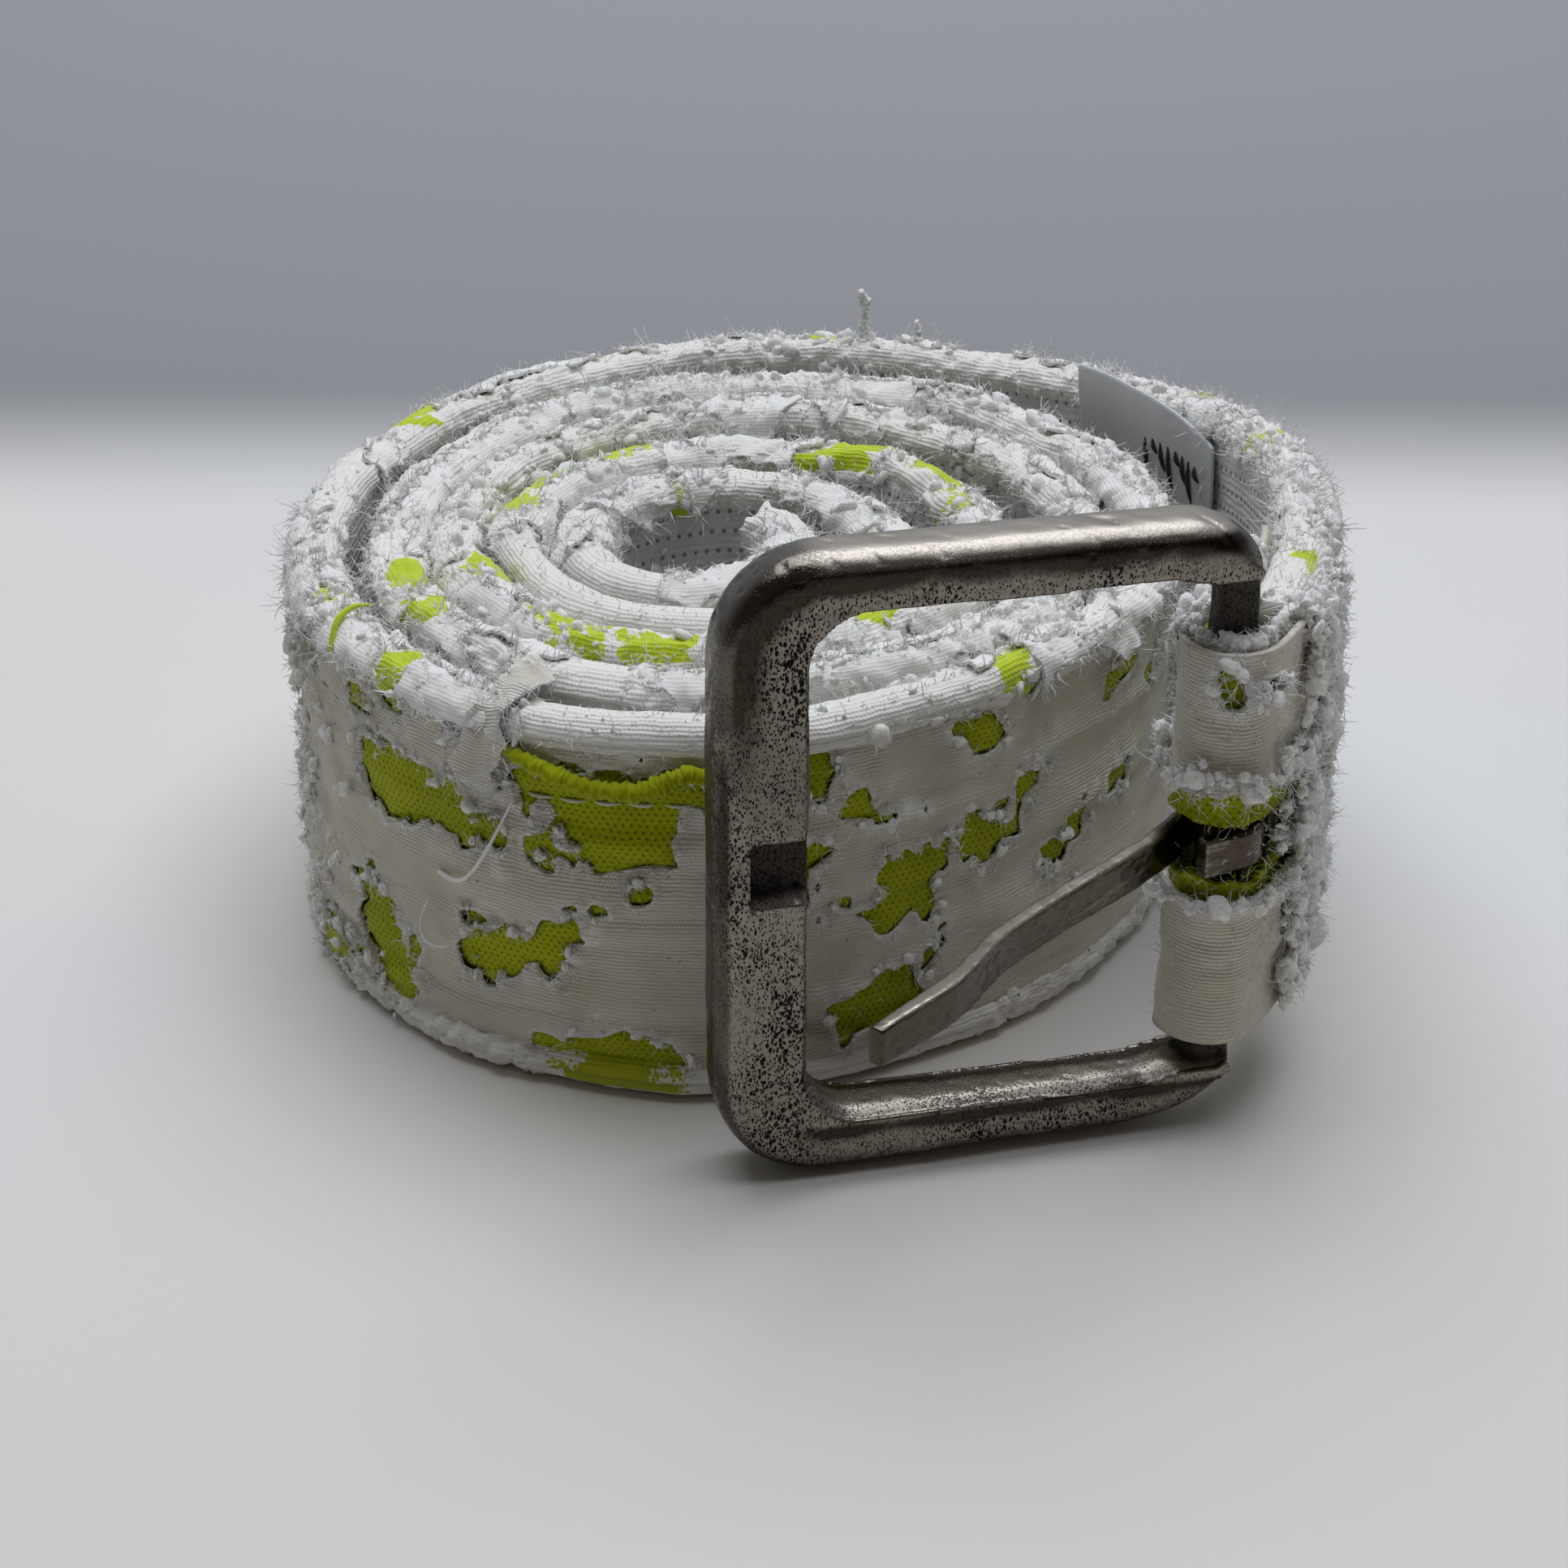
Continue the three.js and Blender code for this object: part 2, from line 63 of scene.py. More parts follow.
# The buckle end of the strip stands this high above the table, and comes down over LIFT_TURNS.
LOOP_BOTTOM = 8.5
LIFT_TURNS = (-0.11, 0.2)
MILLIMETRES_PER_OUTER_TURN = 360
# How far each layer's outer face lies outside the strip's middle line.
COVER_OUT, GREEN_OUT, CORE_OUT, LINING_OUT = 1.75, 1.22, 0.2, -1.35
# The rolled edges' middles lie this far inside the strip's top and bottom.
ROLL_INSET = 1.95


def radius(turn):
    """Three.js's cubic interpolant through COIL_RADII."""
    knots, values = COIL_RADII[:, 0], COIL_RADII[:, 1]
    last = len(knots) - 1
    i = np.clip(np.searchsorted(knots, turn, side="right"), 1, last)
    t0, t1 = knots[i - 1], knots[i]
    before = np.where(i < 2, i, i - 2)
    after = np.where(i + 1 > last, i - 1, np.minimum(i + 1, last))
    w0 = (t1 - t0) / 2 / (t0 - knots[before])
    w1 = (t1 - t0) / 2 / (knots[after] - t1)
    p = (turn - t0) / (t1 - t0)
    return (
        (-w0 * p**3 + 2 * w0 * p**2 - w0 * p) * values[before]
        + ((1 + w0) * p**3 - (1.5 + 2 * w0) * p**2 + (w0 - 0.5) * p + 1) * values[i - 1]
        + ((-1 - w1) * p**3 + (1.5 + w1) * p**2 + 0.5 * p) * values[i]
        + (w1 * p**3 - w1 * p**2) * values[after]
    )


def unit(vectors):
    return vectors / np.linalg.norm(vectors, axis=-1, keepdims=True)


def middle_line(turn):
    turn = np.asarray(turn, float)
    r = radius(turn)
    spiral = np.stack([r * np.cos(TAU * turn), r * np.sin(TAU * turn)], -1)
    return turn[..., None] * DRIFT_PER_TURN + spiral + COIL_SHIFT


def outward(turn):
    step = 0.002
    along = unit(middle_line(np.asarray(turn) + step) - middle_line(np.asarray(turn) - step))
    return np.stack([along[..., 1], -along[..., 0]], -1)


# The coil is moved in plan until its outer end meets the bar, where the frame's hinge is.
COIL_SHIFT = np.zeros(2)
BAR = np.array(frame["joints"][0]["pos_m"][:2]) / MM
COIL_SHIFT = BAR - middle_line(BAR_TURN + 0.002)
BAR_OUT = outward(BAR_TURN + 0.004)
BAR_ALONG = np.array([-BAR_OUT[1], BAR_OUT[0]])


def path_lengths(points):
    """Each point's distance from the first, along the path."""
    steps = np.linalg.norm(np.diff(points, axis=0), axis=1)
    return np.concatenate([[0], np.cumsum(steps)])


TURN_SAMPLES = np.linspace(BAR_TURN + 0.004, COIL_END, 6001)
ARC_SAMPLES = path_lengths(middle_line(TURN_SAMPLES))


def arc_of(turn):
    return np.interp(turn, TURN_SAMPLES, ARC_SAMPLES)


def turn_of(arc):
    return np.interp(arc, ARC_SAMPLES, TURN_SAMPLES)


def smooth(x):
    x = np.clip(x, 0, 1)
    return x * x * (3 - 2 * x)


def lift(turn):
    full, end = LIFT_TURNS
    return LOOP_BOTTOM * smooth((end - turn) / (end - full))


# ---- noise ----
LATTICE = rng.random((256, 256)) * 2 - 1


def noise(x, y, seed):
    """Random values between -1 and 1, drawn at whole x and y and blended between them."""
    x, y = np.broadcast_arrays(np.asarray(x, float), np.asarray(y, float))
    xi, yi = np.floor(x).astype(int), np.floor(y).astype(int)
    fx, fy = smooth(x - xi), smooth(y - yi)
    a, b = 37 * seed, 91 * seed

    def at(i, j):
        return LATTICE[(xi + i + a) & 255, (yi + j + b) & 255]

    low = at(0, 0) * (1 - fx) + at(1, 0) * fx
    high = at(0, 1) * (1 - fx) + at(1, 1) * fx
    return low * (1 - fy) + high * fy


def fractal(x, y, seed):
    """Three layers of noise, each half the size and half the height of the last."""
    total, size = 0, 1
    for k in range(3):
        total = total + size * noise(x * 2**k, y * 2**k, seed + k)
        size /= 2
    return total


# ---- meshes ----
def point_values(mesh, name, values):
    """One number per point, which the materials read by name."""
    attribute = mesh.attributes.new(name, "FLOAT", "POINT")
    attribute.data.foreach_set("value", np.asarray(values, np.float32))


def make(name, verts, faces, uv=None, attributes=None):
    """A mesh object from points in millimetres and a list of (n, 3) or (n, 4) index arrays."""
    mesh = bpy.data.meshes.new(name)
    verts = np.asarray(verts, float)
    faces = [np.asarray(f, int) for f in (faces if isinstance(faces, list) else [faces])]
    faces = [f for f in faces if len(f)]
    loops = np.concatenate([f.ravel() for f in faces])
    sizes = np.concatenate([np.full(len(f), f.shape[1]) for f in faces])
    mesh.vertices.add(len(verts))
    mesh.vertices.foreach_set("co", (verts * MM).astype(np.float32).ravel())
    mesh.loops.add(len(loops))
    mesh.loops.foreach_set("vertex_index", loops.astype(np.int32))
    mesh.polygons.add(len(sizes))
    starts = np.concatenate([[0], np.cumsum(sizes)[:-1]])
    mesh.polygons.foreach_set("loop_start", starts.astype(np.int32))
    mesh.polygons.foreach_set("use_smooth", np.full(len(sizes), True))
    mesh.update(calc_edges=True)
    if uv is not None:
        layer = mesh.uv_layers.new(name="strip")
        layer.data.foreach_set("uv", np.asarray(uv, np.float32)[loops].ravel())
    for key, values in (attributes or {}).items():
        point_values(mesh, key, values)
    mesh.validate()
    piece = bpy.data.objects.new(name, mesh)
    bpy.context.scene.collection.objects.link(piece)
    return piece


def finish_piece(piece, material, body="belt", nodes=()):
    piece.data.materials.append(material)
    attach(piece, body)
    if nodes:
        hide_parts(*nodes)
    return piece


def torn_triangles(columns, rows, tear):
    """The grid's triangles, cut where tear crosses zero. Cloth is where tear is negative.
    Returns the points as (column, row, tear) values, the triangles, and the torn edges."""
    nc, nr = len(columns), len(rows)
    grid_c, grid_r = np.meshgrid(columns, rows, indexing="ij")
    value = np.where(np.abs(tear) < 0.06, -0.06, tear).ravel()
    points = np.stack([grid_c.ravel(), grid_r.ravel(), value], -1)
    index = np.arange(nc * nr).reshape(nc, nr)
    a, b = index[:-1, :-1].ravel(), index[1:, :-1].ravel()
    c, d = index[1:, 1:].ravel(), index[:-1, 1:].ravel()
    triangles = np.concatenate([np.stack([a, b, c], -1), np.stack([a, c, d], -1)])
    inside = value[triangles] < 0
    count = inside.sum(1)
    whole = triangles[count == 3]
    mixed = np.concatenate([triangles[count == 1], triangles[count == 2]])
    single = np.concatenate([np.ones((count == 1).sum(), bool), np.zeros((count == 2).sum(), bool)])
    odd = np.where(single[:, None], value[mixed] < 0, value[mixed] >= 0).argmax(1)
    turned = np.stack([mixed[np.arange(len(mixed)), (odd + k) % 3] for k in range(3)], -1)
    p, q, r = turned.T

    def crossing(i, j):
        return np.minimum(i, j) * (nc * nr) + np.maximum(i, j)

    keys = np.concatenate([crossing(p, q), crossing(p, r)])
    unique, position = np.unique(keys, return_inverse=True)
    i, j = unique // (nc * nr), unique % (nc * nr)
    share = (value[i] / (value[i] - value[j]))[:, None]
    cut = points[i] * (1 - share) + points[j] * share
    cut[:, 2] = 0
    new = nc * nr + position
    pq, pr = new[: len(p)], new[len(p):]
    ones = np.stack([p, pq, pr], -1)[single]
    twos_a = np.stack([pq, q, r], -1)[~single]
    twos_b = np.stack([pq, r, pr], -1)[~single]
    torn = np.concatenate([np.stack([pq, pr], -1)[single], np.stack([pr, pq], -1)[~single]])
    points = np.concatenate([points, cut])
    faces = np.concatenate([whole, ones, twos_a, twos_b])
    used = np.unique(faces)
    new_index = np.full(len(points), -1)
    new_index[used] = np.arange(len(used))
    return points[used], new_index[faces], new_index[torn]


def thicken(outer, inner, faces):
    """Closes a sheet: its outer points, the inner ones and a wall along every open edge."""
    n = len(outer)
    edges = np.concatenate([faces[:, [0, 1]], faces[:, [1, 2]], faces[:, [2, 0]]])
    key, back = edges[:, 0] * n + edges[:, 1], edges[:, 1] * n + edges[:, 0]
    open_edges = edges[~np.isin(key, back)]
    a, b = open_edges.T
    walls = np.stack([b, a, a + n, b + n], -1)
    return np.concatenate([outer, inner]), [faces, faces[:, ::-1] + n, walls]


def cloth(name, outer, inner, faces, along, across, material, nodes=(), depth=None):
    """A sheet with a face on both sides. Its UV runs along and across the cloth, and depth is
    the distance to the torn edge, for the paler tone beside it."""
    verts, parts = thicken(outer, inner, faces)
    uv = np.tile(np.stack([along, across], -1) * UV_SCALE, (2, 1))
    torn = {} if depth is None else {"torn": np.tile(np.exp(depth / 0.5), 2)}
    return finish_piece(make(name, verts, parts, uv, torn), material, nodes=nodes)


def corner_angles(sides):
    return np.arange(sides) * TAU / sides


def ring(centre, side, other, radius, corners):
    """Points round each centre, in the plane of side and other, at the corners' angles."""
    cosine, sine = np.cos(corners)[None, :, None], np.sin(corners)[None, :, None]
    return centre[:, None] + radius * (side[:, None] * cosine + other[:, None] * sine)


def tube_faces(sides, rings, tubes=1):
    """Faces of equal tubes, each one's points in rings of so many sides, with closed ends."""
    base = np.arange(tubes)[:, None] * sides * rings
    quads = []
    for k in range(rings - 1):
        for c in range(sides):
            a, b = base + sides * k + c, base + sides * k + (c + 1) % sides
            quads.append(np.concatenate([a, b, b + sides, a + sides], 1))
    first = base + np.arange(sides)[::-1]
    last = base + sides * (rings - 1) + np.arange(sides)
    return [np.concatenate(quads), first, last]


def on_strip(arc, height, out):
    """Points beside the strip's middle line. The cloth's own slow waves are added here, so
    that every layer shares them."""
    turn = turn_of(arc)
    wave = 0.22 * noise(arc / 9, height / 14, 5) + 0.12 * noise(arc / 3.5, height / 9, 6)
    plan = middle_line(turn) + outward(turn) * (out + wave)[..., None]
    inner = smooth((turn - 0.95) / 0.1)
    sag = (0.3 + 0.5 * inner) * noise(arc / 11, 0.5, 8) * height / BELT_WIDTH
    return np.concatenate([plan, (height + lift(turn) + sag)[..., None]], -1)


def axes_of(out):
    """Directions along the strip, up and outwards, from the outward direction in plan."""
    zero, one = np.zeros(len(out)), np.ones(len(out))
    tangent = np.stack([-out[:, 1], out[:, 0], zero], -1)
    return tangent, np.stack([zero, zero, one], -1), np.stack([out[:, 0], out[:, 1], zero], -1)


def strip_axes(arc):
    return axes_of(outward(turn_of(arc)))


def strip_columns(fine, coarse):
    """Arc positions: fine over the outermost turn, coarse further in."""
    first, change, last = arc_of(STRIP_TURNS[0]), arc_of(1.2), arc_of(STRIP_TURNS[1])
    return np.concatenate([np.arange(first, change, fine), np.arange(change, last, coarse)])


# ---- materials ----
class Shader:
    """Node building in few words. Each call returns the new node's output socket."""

    def __init__(self, name):
        self.material = bpy.data.materials.new(name)
        self.material.use_nodes = True
        self.tree = self.material.node_tree
        self.bsdf = next(n for n in self.tree.nodes if n.type == "BSDF_PRINCIPLED")

    def node(self, kind, inputs=(), **settings):
        made = self.tree.nodes.new("ShaderNode" + kind)
        for key, value in settings.items():
            setattr(made, key, value)
        for key, value in dict(inputs).items():
            self.put(made.inputs[key], value)
        return made

    def put(self, socket, value):
        if isinstance(value, bpy.types.NodeSocket):
            self.tree.links.new(value, socket)
        elif socket.type == "RGBA":
            socket.default_value = (*value, 1.0)
        else:
            socket.default_value = value

    def math(self, operation, *values):
        made = self.node("Math", operation=operation)
        for socket, value in zip(made.inputs, values):
            self.put(socket, value)
        return made.outputs[0]

    def times(self, a, b):
        return self.math("MULTIPLY", a, b)

    def plus(self, a, b):
        return self.math("ADD", a, b)

    def minus(self, a, b):
        return self.math("SUBTRACT", a, b)

    def mix(self, share, a, b):
        made = self.node("Mix", data_type="RGBA")
        for key, value in (("Factor", share), ("A", a), ("B", b)):
            self.put(made.inputs[key], value)
        return made.outputs["Result"]

    def ramp(self, value, low, high, to_low=0.0, to_high=1.0):
        limits = {"From Min": low, "From Max": high, "To Min": to_low, "To Max": to_high}
        return self.node("MapRange", {"Value": value, **limits}).outputs["Result"]

    def noise(self, vector, scale, detail):
        made = self.node("TexNoise", {"Vector": vector, "Scale": scale, "Detail": detail})
        return made.outputs["Fac"]

    def voronoi(self, vector, scale):
        made = self.node("TexVoronoi", {"Vector": vector, "Scale": scale})
        return made.outputs["Distance"]

    def position(self):
        return self.node("TexCoord").outputs["Object"]

    def uv(self):
        return self.node("UVMap", uv_map="strip").outputs["UV"]

    def cloth_axes(self):
        """Centimetres along the cloth and across it."""
        axes = self.node("SeparateXYZ", {"Vector": self.uv()})
        return axes.outputs["X"], axes.outputs["Y"]

    def attribute(self, name):
        return self.node("Attribute", attribute_name=name).outputs["Fac"]

    def bump(self, height, distance, strength):
        inputs = {"Height": height, "Distance": distance * MM, "Strength": strength}
        normal = self.node("Bump", inputs).outputs["Normal"]
        self.put(self.bsdf.inputs["Normal"], normal)

    def set(self, **values):
        for key, value in values.items():
            self.put(self.bsdf.inputs[key.replace("_", " ")], value)


def scaled(colour, factor):
    return tuple(factor * c for c in colour)


UV_SCALE = 0.1  # UV units are centimetres of cloth


def knit_height(shader, row_pitch, loop_pitch):
    """Knitted rows along the strip, each made of small loops."""
    x, y = shader.cloth_axes()
    wobble = shader.noise(shader.uv(), 6.0, 2.0)
    along = shader.times(x, TAU / (loop_pitch * UV_SCALE))
    across = shader.times(y, TAU / (row_pitch * UV_SCALE))
    across = shader.plus(across, shader.times(wobble, 6.0))
    rows = shader.ramp(shader.math("SINE", across), -1.0, 1.0)
    half_row = shader.times(across, 0.5)
    loops = shader.math("SINE", shader.plus(along, half_row))
    loops = shader.ramp(loops, -1.0, 1.0)
    return shader.times(rows, shader.ramp(loops, 0.0, 1.0, 0.45, 1.0))


def staggered_holes(shader, along, across, flattened, inner, outer):
    """A round gap in each whole step of along and across, every row half a step on."""
    stagger = shader.times(shader.math("FLOOR", across), 0.5)
    along = shader.plus(along, stagger)
    du = shader.minus(shader.math("FRACT", along), 0.5)
    dv = shader.times(shader.minus(shader.math("FRACT", across), 0.5), flattened)
    squares = shader.plus(shader.times(du, du), shader.times(dv, dv))
    return shader.ramp(shader.math("SQRT", squares), inner, outer, 1.0, 0.0)


def jersey(name, light, dark, speckled=0.5, row_pitch=0.34, loop_pitch=0.3, green_tone=None, torn=False,
           relief=0.7, valley=0.22):
    shader = Shader(name)
    knit = knit_height(shader, row_pitch, loop_pitch)
    place = shader.position()
    tint = shader.noise(place, 160.0, 4.0)
    warm = shader.ramp(shader.noise(place, 70.0, 2.0), 0.42, 0.62)
    colour = shader.mix(shader.ramp(tint, 0.3, 0.7), dark, light)
    warm_tone = (light[0], light[1] * 0.955, light[2] * 0.94)
    colour = shader.mix(shader.times(warm, 0.45), colour, warm_tone)
    shade = shader.ramp(knit, 0.0, 0.35, valley, 0.0)
    colour = shader.mix(shade, colour, scaled(dark, 0.5))
    specks = shader.ramp(shader.voronoi(place, 900.0), 0.10, 0.17, 1.0, 0.0)
    where = shader.ramp(shader.noise(place, 240.0, 1.0), 0.55, 0.62)
    specks = shader.times(shader.times(specks, where), speckled)
    colour = shader.mix(specks, colour, (0.16, 0.155, 0.15))
    fuzz = shader.noise(place, 2600.0, 2.0)
    if torn:
        low = shader.plus(shader.cloth_axes()[1], shader.ramp(tint, 0.0, 1.0, -0.06, 0.06))
        hem = shader.ramp(low, 0.58, 0.74, 0.6, 0.0)
        colour = shader.mix(hem, colour, (0.62, 0.565, 0.49))
        pale = shader.times(shader.attribute("torn"), shader.ramp(fuzz, 0.3, 0.6, 0.5, 1.0))
        colour = shader.mix(pale, colour, (0.90, 0.89, 0.87))
    if green_tone:
        edge = shader.plus(shader.attribute("green"), shader.ramp(fuzz, 0.3, 0.7, -0.22, 0.22))
        colour = shader.mix(shader.ramp(edge, 0.46, 0.56), colour, green_tone)
    height = shader.plus(knit, shader.times(fuzz, 0.5))
    shader.set(Base_Color=colour, Roughness=0.95, Sheen_Weight=0.25, Sheen_Roughness=0.6)
    shader.set(Specular_IOR_Level=0.15)
    shader.bump(height, 0.16, relief)
    return shader.material


# The same white jersey in two tones: the faces are darkened and warmed to the tone of their shaded front
# (painted shade), and the rolled edges and hems are lightened to the tone of the lit top edges (painted
# light).
FACE_WHITE_PAINTED_SHADE = (0.76, 0.72, 0.605)
WHITE_SHADE = (0.62, 0.575, 0.46)
EDGE_WHITE_PAINTED_LIGHT = (0.94, 0.92, 0.86)
BRIGHT_SHADE = (0.85, 0.83, 0.76)
GREEN = (0.44, 0.48, 0.003)
GREEN_SHADE = (0.31, 0.345, 0.001)
RIM_GREEN = (0.56, 0.68, 0.02)
# Frame: bare metal, and a dark tone that is both its brown patina and the painted dark reflection of the
# room. Prong: bare metal, which also gives its painted highlights, and its own dark patina.
STEEL, STEEL_PATINA_AND_PAINTED_REFLECTION = (0.285, 0.256, 0.218), (0.050, 0.040, 0.030)
PRONG_STEEL, PRONG_PATINA = (0.325, 0.288, 0.238), (0.085, 0.068, 0.050)
SOIL = (0.022, 0.017, 0.012)


def thread_material(name, colour):
    shader = Shader(name)
    strand = shader.noise(shader.position(), 4200.0, 3.0)
    base = shader.mix(shader.ramp(strand, 0.3, 0.7), scaled(colour, 0.82), colour)
    shader.set(Base_Color=base, Roughness=0.9, Sheen_Weight=0.3, Specular_IOR_Level=0.15)
    shader.bump(strand, 0.12, 0.6)
    return shader.material


def satin_material():
    shader = Shader("satin tape")
    y = shader.cloth_axes()[1]
    weave = shader.math("SINE", shader.times(y, TAU / (0.22 * UV_SCALE)))
    cloud = shader.noise(shader.position(), 120.0, 2.0)
    colour = shader.mix(shader.ramp(cloud, 0.3, 0.7), (0.60, 0.62, 0.63), (0.70, 0.71, 0.71))
    colour = shader.mix(shader.ramp(weave, 0.0, 1.0, 0.0, 0.1), colour, (0.45, 0.46, 0.47))
    shader.set(Base_Color=colour, Roughness=0.45, Specular_IOR_Level=0.4)
    shader.bump(weave, 0.03, 0.4)
    return shader.material


def lining_material():
    """Grey-white tape with staggered rows of small needle holes."""
    shader = Shader("lining knit")
    x, y = shader.cloth_axes()
    across = shader.times(y, 1 / (1.9 * UV_SCALE))
    along = shader.times(x, 1 / (1.25 * UV_SCALE))
    hole = staggered_holes(shader, along, across, 1.6, 0.13, 0.24)
    knit = knit_height(shader, 0.7, 0.6)
    cloud = shader.noise(shader.position(), 200.0, 3.0)
    colour = shader.mix(shader.ramp(cloud, 0.3, 0.7), (0.68, 0.695, 0.665), (0.84, 0.85, 0.82))
    colour = shader.mix(shader.times(hole, 0.75), colour, (0.13, 0.135, 0.13))
    shader.set(Base_Color=colour, Roughness=0.95, Specular_IOR_Level=0.15)
    shader.bump(shader.minus(knit, hole), 0.14, 0.6)
    return shader.material


def green_material():
    """Bright knit with a staggered grid of small dark gaps between its stitches."""
    shader = Shader("green knit")
    x, y = shader.cloth_axes()
    bend = shader.times(shader.noise(shader.uv(), 5.0, 2.0), 1.6)
    across = shader.plus(shader.times(y, 1 / (0.49 * UV_SCALE)), bend)
    along = shader.times(x, 1 / (0.62 * UV_SCALE))
    hole = staggered_holes(shader, along, across, 0.8, 0.06, 0.27)
    place = shader.position()
    cloud = shader.noise(place, 130.0, 3.0)
    colour = shader.mix(shader.ramp(cloud, 0.32, 0.68), GREEN_SHADE, GREEN)
    colour = shader.mix(shader.times(hole, 0.7), colour, (0.10, 0.13, 0.002))
    fuzz = shader.noise(place, 2400.0, 2.0)
    height = shader.minus(shader.times(fuzz, 0.6), hole)
    shader.set(Base_Color=colour, Roughness=0.9, Specular_IOR_Level=0.15, Sheen_Weight=0.15)
    shader.bump(height, 0.14, 0.7)
    return shader.material


def metal_material(name, light, dark, pitted, stretch):
    """Antiqued metal: a tone attribute with painted dark reflections and painted highlights, broad random
    wear, a painted bright highlight where the pitted attribute is low, and dark brown patina in pits,
    scratches and hollows. The grain is drawn out along the axes where stretch is small."""
    shader = Shader(name)
    place = shader.position()
    place = shader.node("VectorMath", {0: place, 1: stretch}, operation="MULTIPLY").outputs[0]
    broad = shader.noise(place, 95.0, 4.0)
    grain = shader.noise(place, 3200.0, 4.0)
    zone = shader.noise(place, 130.0, 3.0)
    fine = shader.voronoi(place, 4000.0)
    coarse = shader.voronoi(place, 1700.0)
    fine_size = shader.ramp(zone, 0.30, 0.70, 0.14, 0.38)
    coarse_size = shader.ramp(zone, 0.40, 0.70, 0.05, 0.33)
    pit = shader.ramp(shader.minus(fine, fine_size), 0.0, 0.12, 1.0, 0.0)
    large = shader.ramp(shader.minus(coarse, coarse_size), 0.0, 0.10, 1.0, 0.0)
    pit = shader.times(shader.math("MAXIMUM", pit, large), pitted)
    pit = shader.times(pit, shader.attribute("pitted"))
    pit = shader.times(pit, shader.ramp(shader.attribute("tone_with_painted_reflections"), 0.1, 0.6, 0.3, 1.0))
    hollow = shader.attribute("patina")
    # Painted highlight: a lighter colour where the pitted attribute is low.
    painted_highlight = shader.ramp(shader.attribute("pitted"), 0.2, 0.9, 0.5, 0.0)
    # Tone: dark where a reflection of the dark room is painted, light where a highlight is painted, plus
    # broad random wear.
    tone_with_painted_reflections = shader.plus(shader.attribute("tone_with_painted_reflections"), shader.ramp(broad, 0.3, 0.7, -0.35, 0.35))
    tone_with_painted_reflections = shader.ramp(tone_with_painted_reflections, 0.25, 0.8)
    colour = shader.mix(tone_with_painted_reflections, dark, light)
    colour = shader.mix(shader.ramp(grain, 0.5, 0.75, 0.0, 0.6), colour, scaled(dark, 0.5))
    colour = shader.mix(painted_highlight, colour, scaled(light, 1.75))
    soil = shader.times(hollow, shader.ramp(grain, 0.3, 0.6, 1.0, 0.7))
    soil = shader.math("MAXIMUM", pit, soil)
    colour = shader.mix(soil, colour, SOIL)
    uneven = shader.ramp(grain, 0.3, 0.7, -0.05, 0.05)
    rough = shader.plus(uneven, shader.ramp(tone_with_painted_reflections, 0.0, 1.0, 0.2, 0.36))
    rough = shader.plus(rough, shader.times(soil, 0.35))
    shader.set(Base_Color=colour, Metallic=1.0, Roughness=rough)
    height = shader.minus(shader.times(grain, 0.35), pit)
    shader.bump(height, 0.05, 0.7)
    return shader.material


white_jersey = jersey("white jersey", FACE_WHITE_PAINTED_SHADE, WHITE_SHADE, torn=True)
roll_knit = {"row_pitch": 0.42, "loop_pitch": 0.36, "relief": 0.5, "valley": 0.16}
roll_jersey = jersey("rolled edge jersey", EDGE_WHITE_PAINTED_LIGHT, BRIGHT_SHADE, 0.8, green_tone=RIM_GREEN, **roll_knit)
shaded_roll_jersey = jersey("lower edge jersey", EDGE_WHITE_PAINTED_LIGHT, BRIGHT_SHADE, 0.8, green_tone=GREEN, **roll_knit)
hem_jersey = jersey("torn hem jersey", EDGE_WHITE_PAINTED_LIGHT, BRIGHT_SHADE, 0.8, torn=True, relief=0.22, valley=0.1)
green_jersey = green_material()
lining_knit = lining_material()
core_cloth = jersey("core wadding", (0.62, 0.61, 0.57), (0.5, 0.49, 0.46), 0.1)
satin = satin_material()
white_fibre = thread_material("white fibres", (0.94, 0.925, 0.89))
green_fibre = thread_material("green fibres", (0.62, 0.76, 0.04))
sewing_thread = thread_material("sewing thread", (0.72, 0.74, 0.60))
print_ink = thread_material("woven marks", (0.035, 0.035, 0.04))
frame_metal = metal_material("antiqued casting", STEEL, STEEL_PATINA_AND_PAINTED_REFLECTION, 1.0, (1.25, 1.25, 0.8))
prong_metal = metal_material("antiqued strip", PRONG_STEEL, PRONG_PATINA, 0.6, (0.25, 0.25, 2.4))

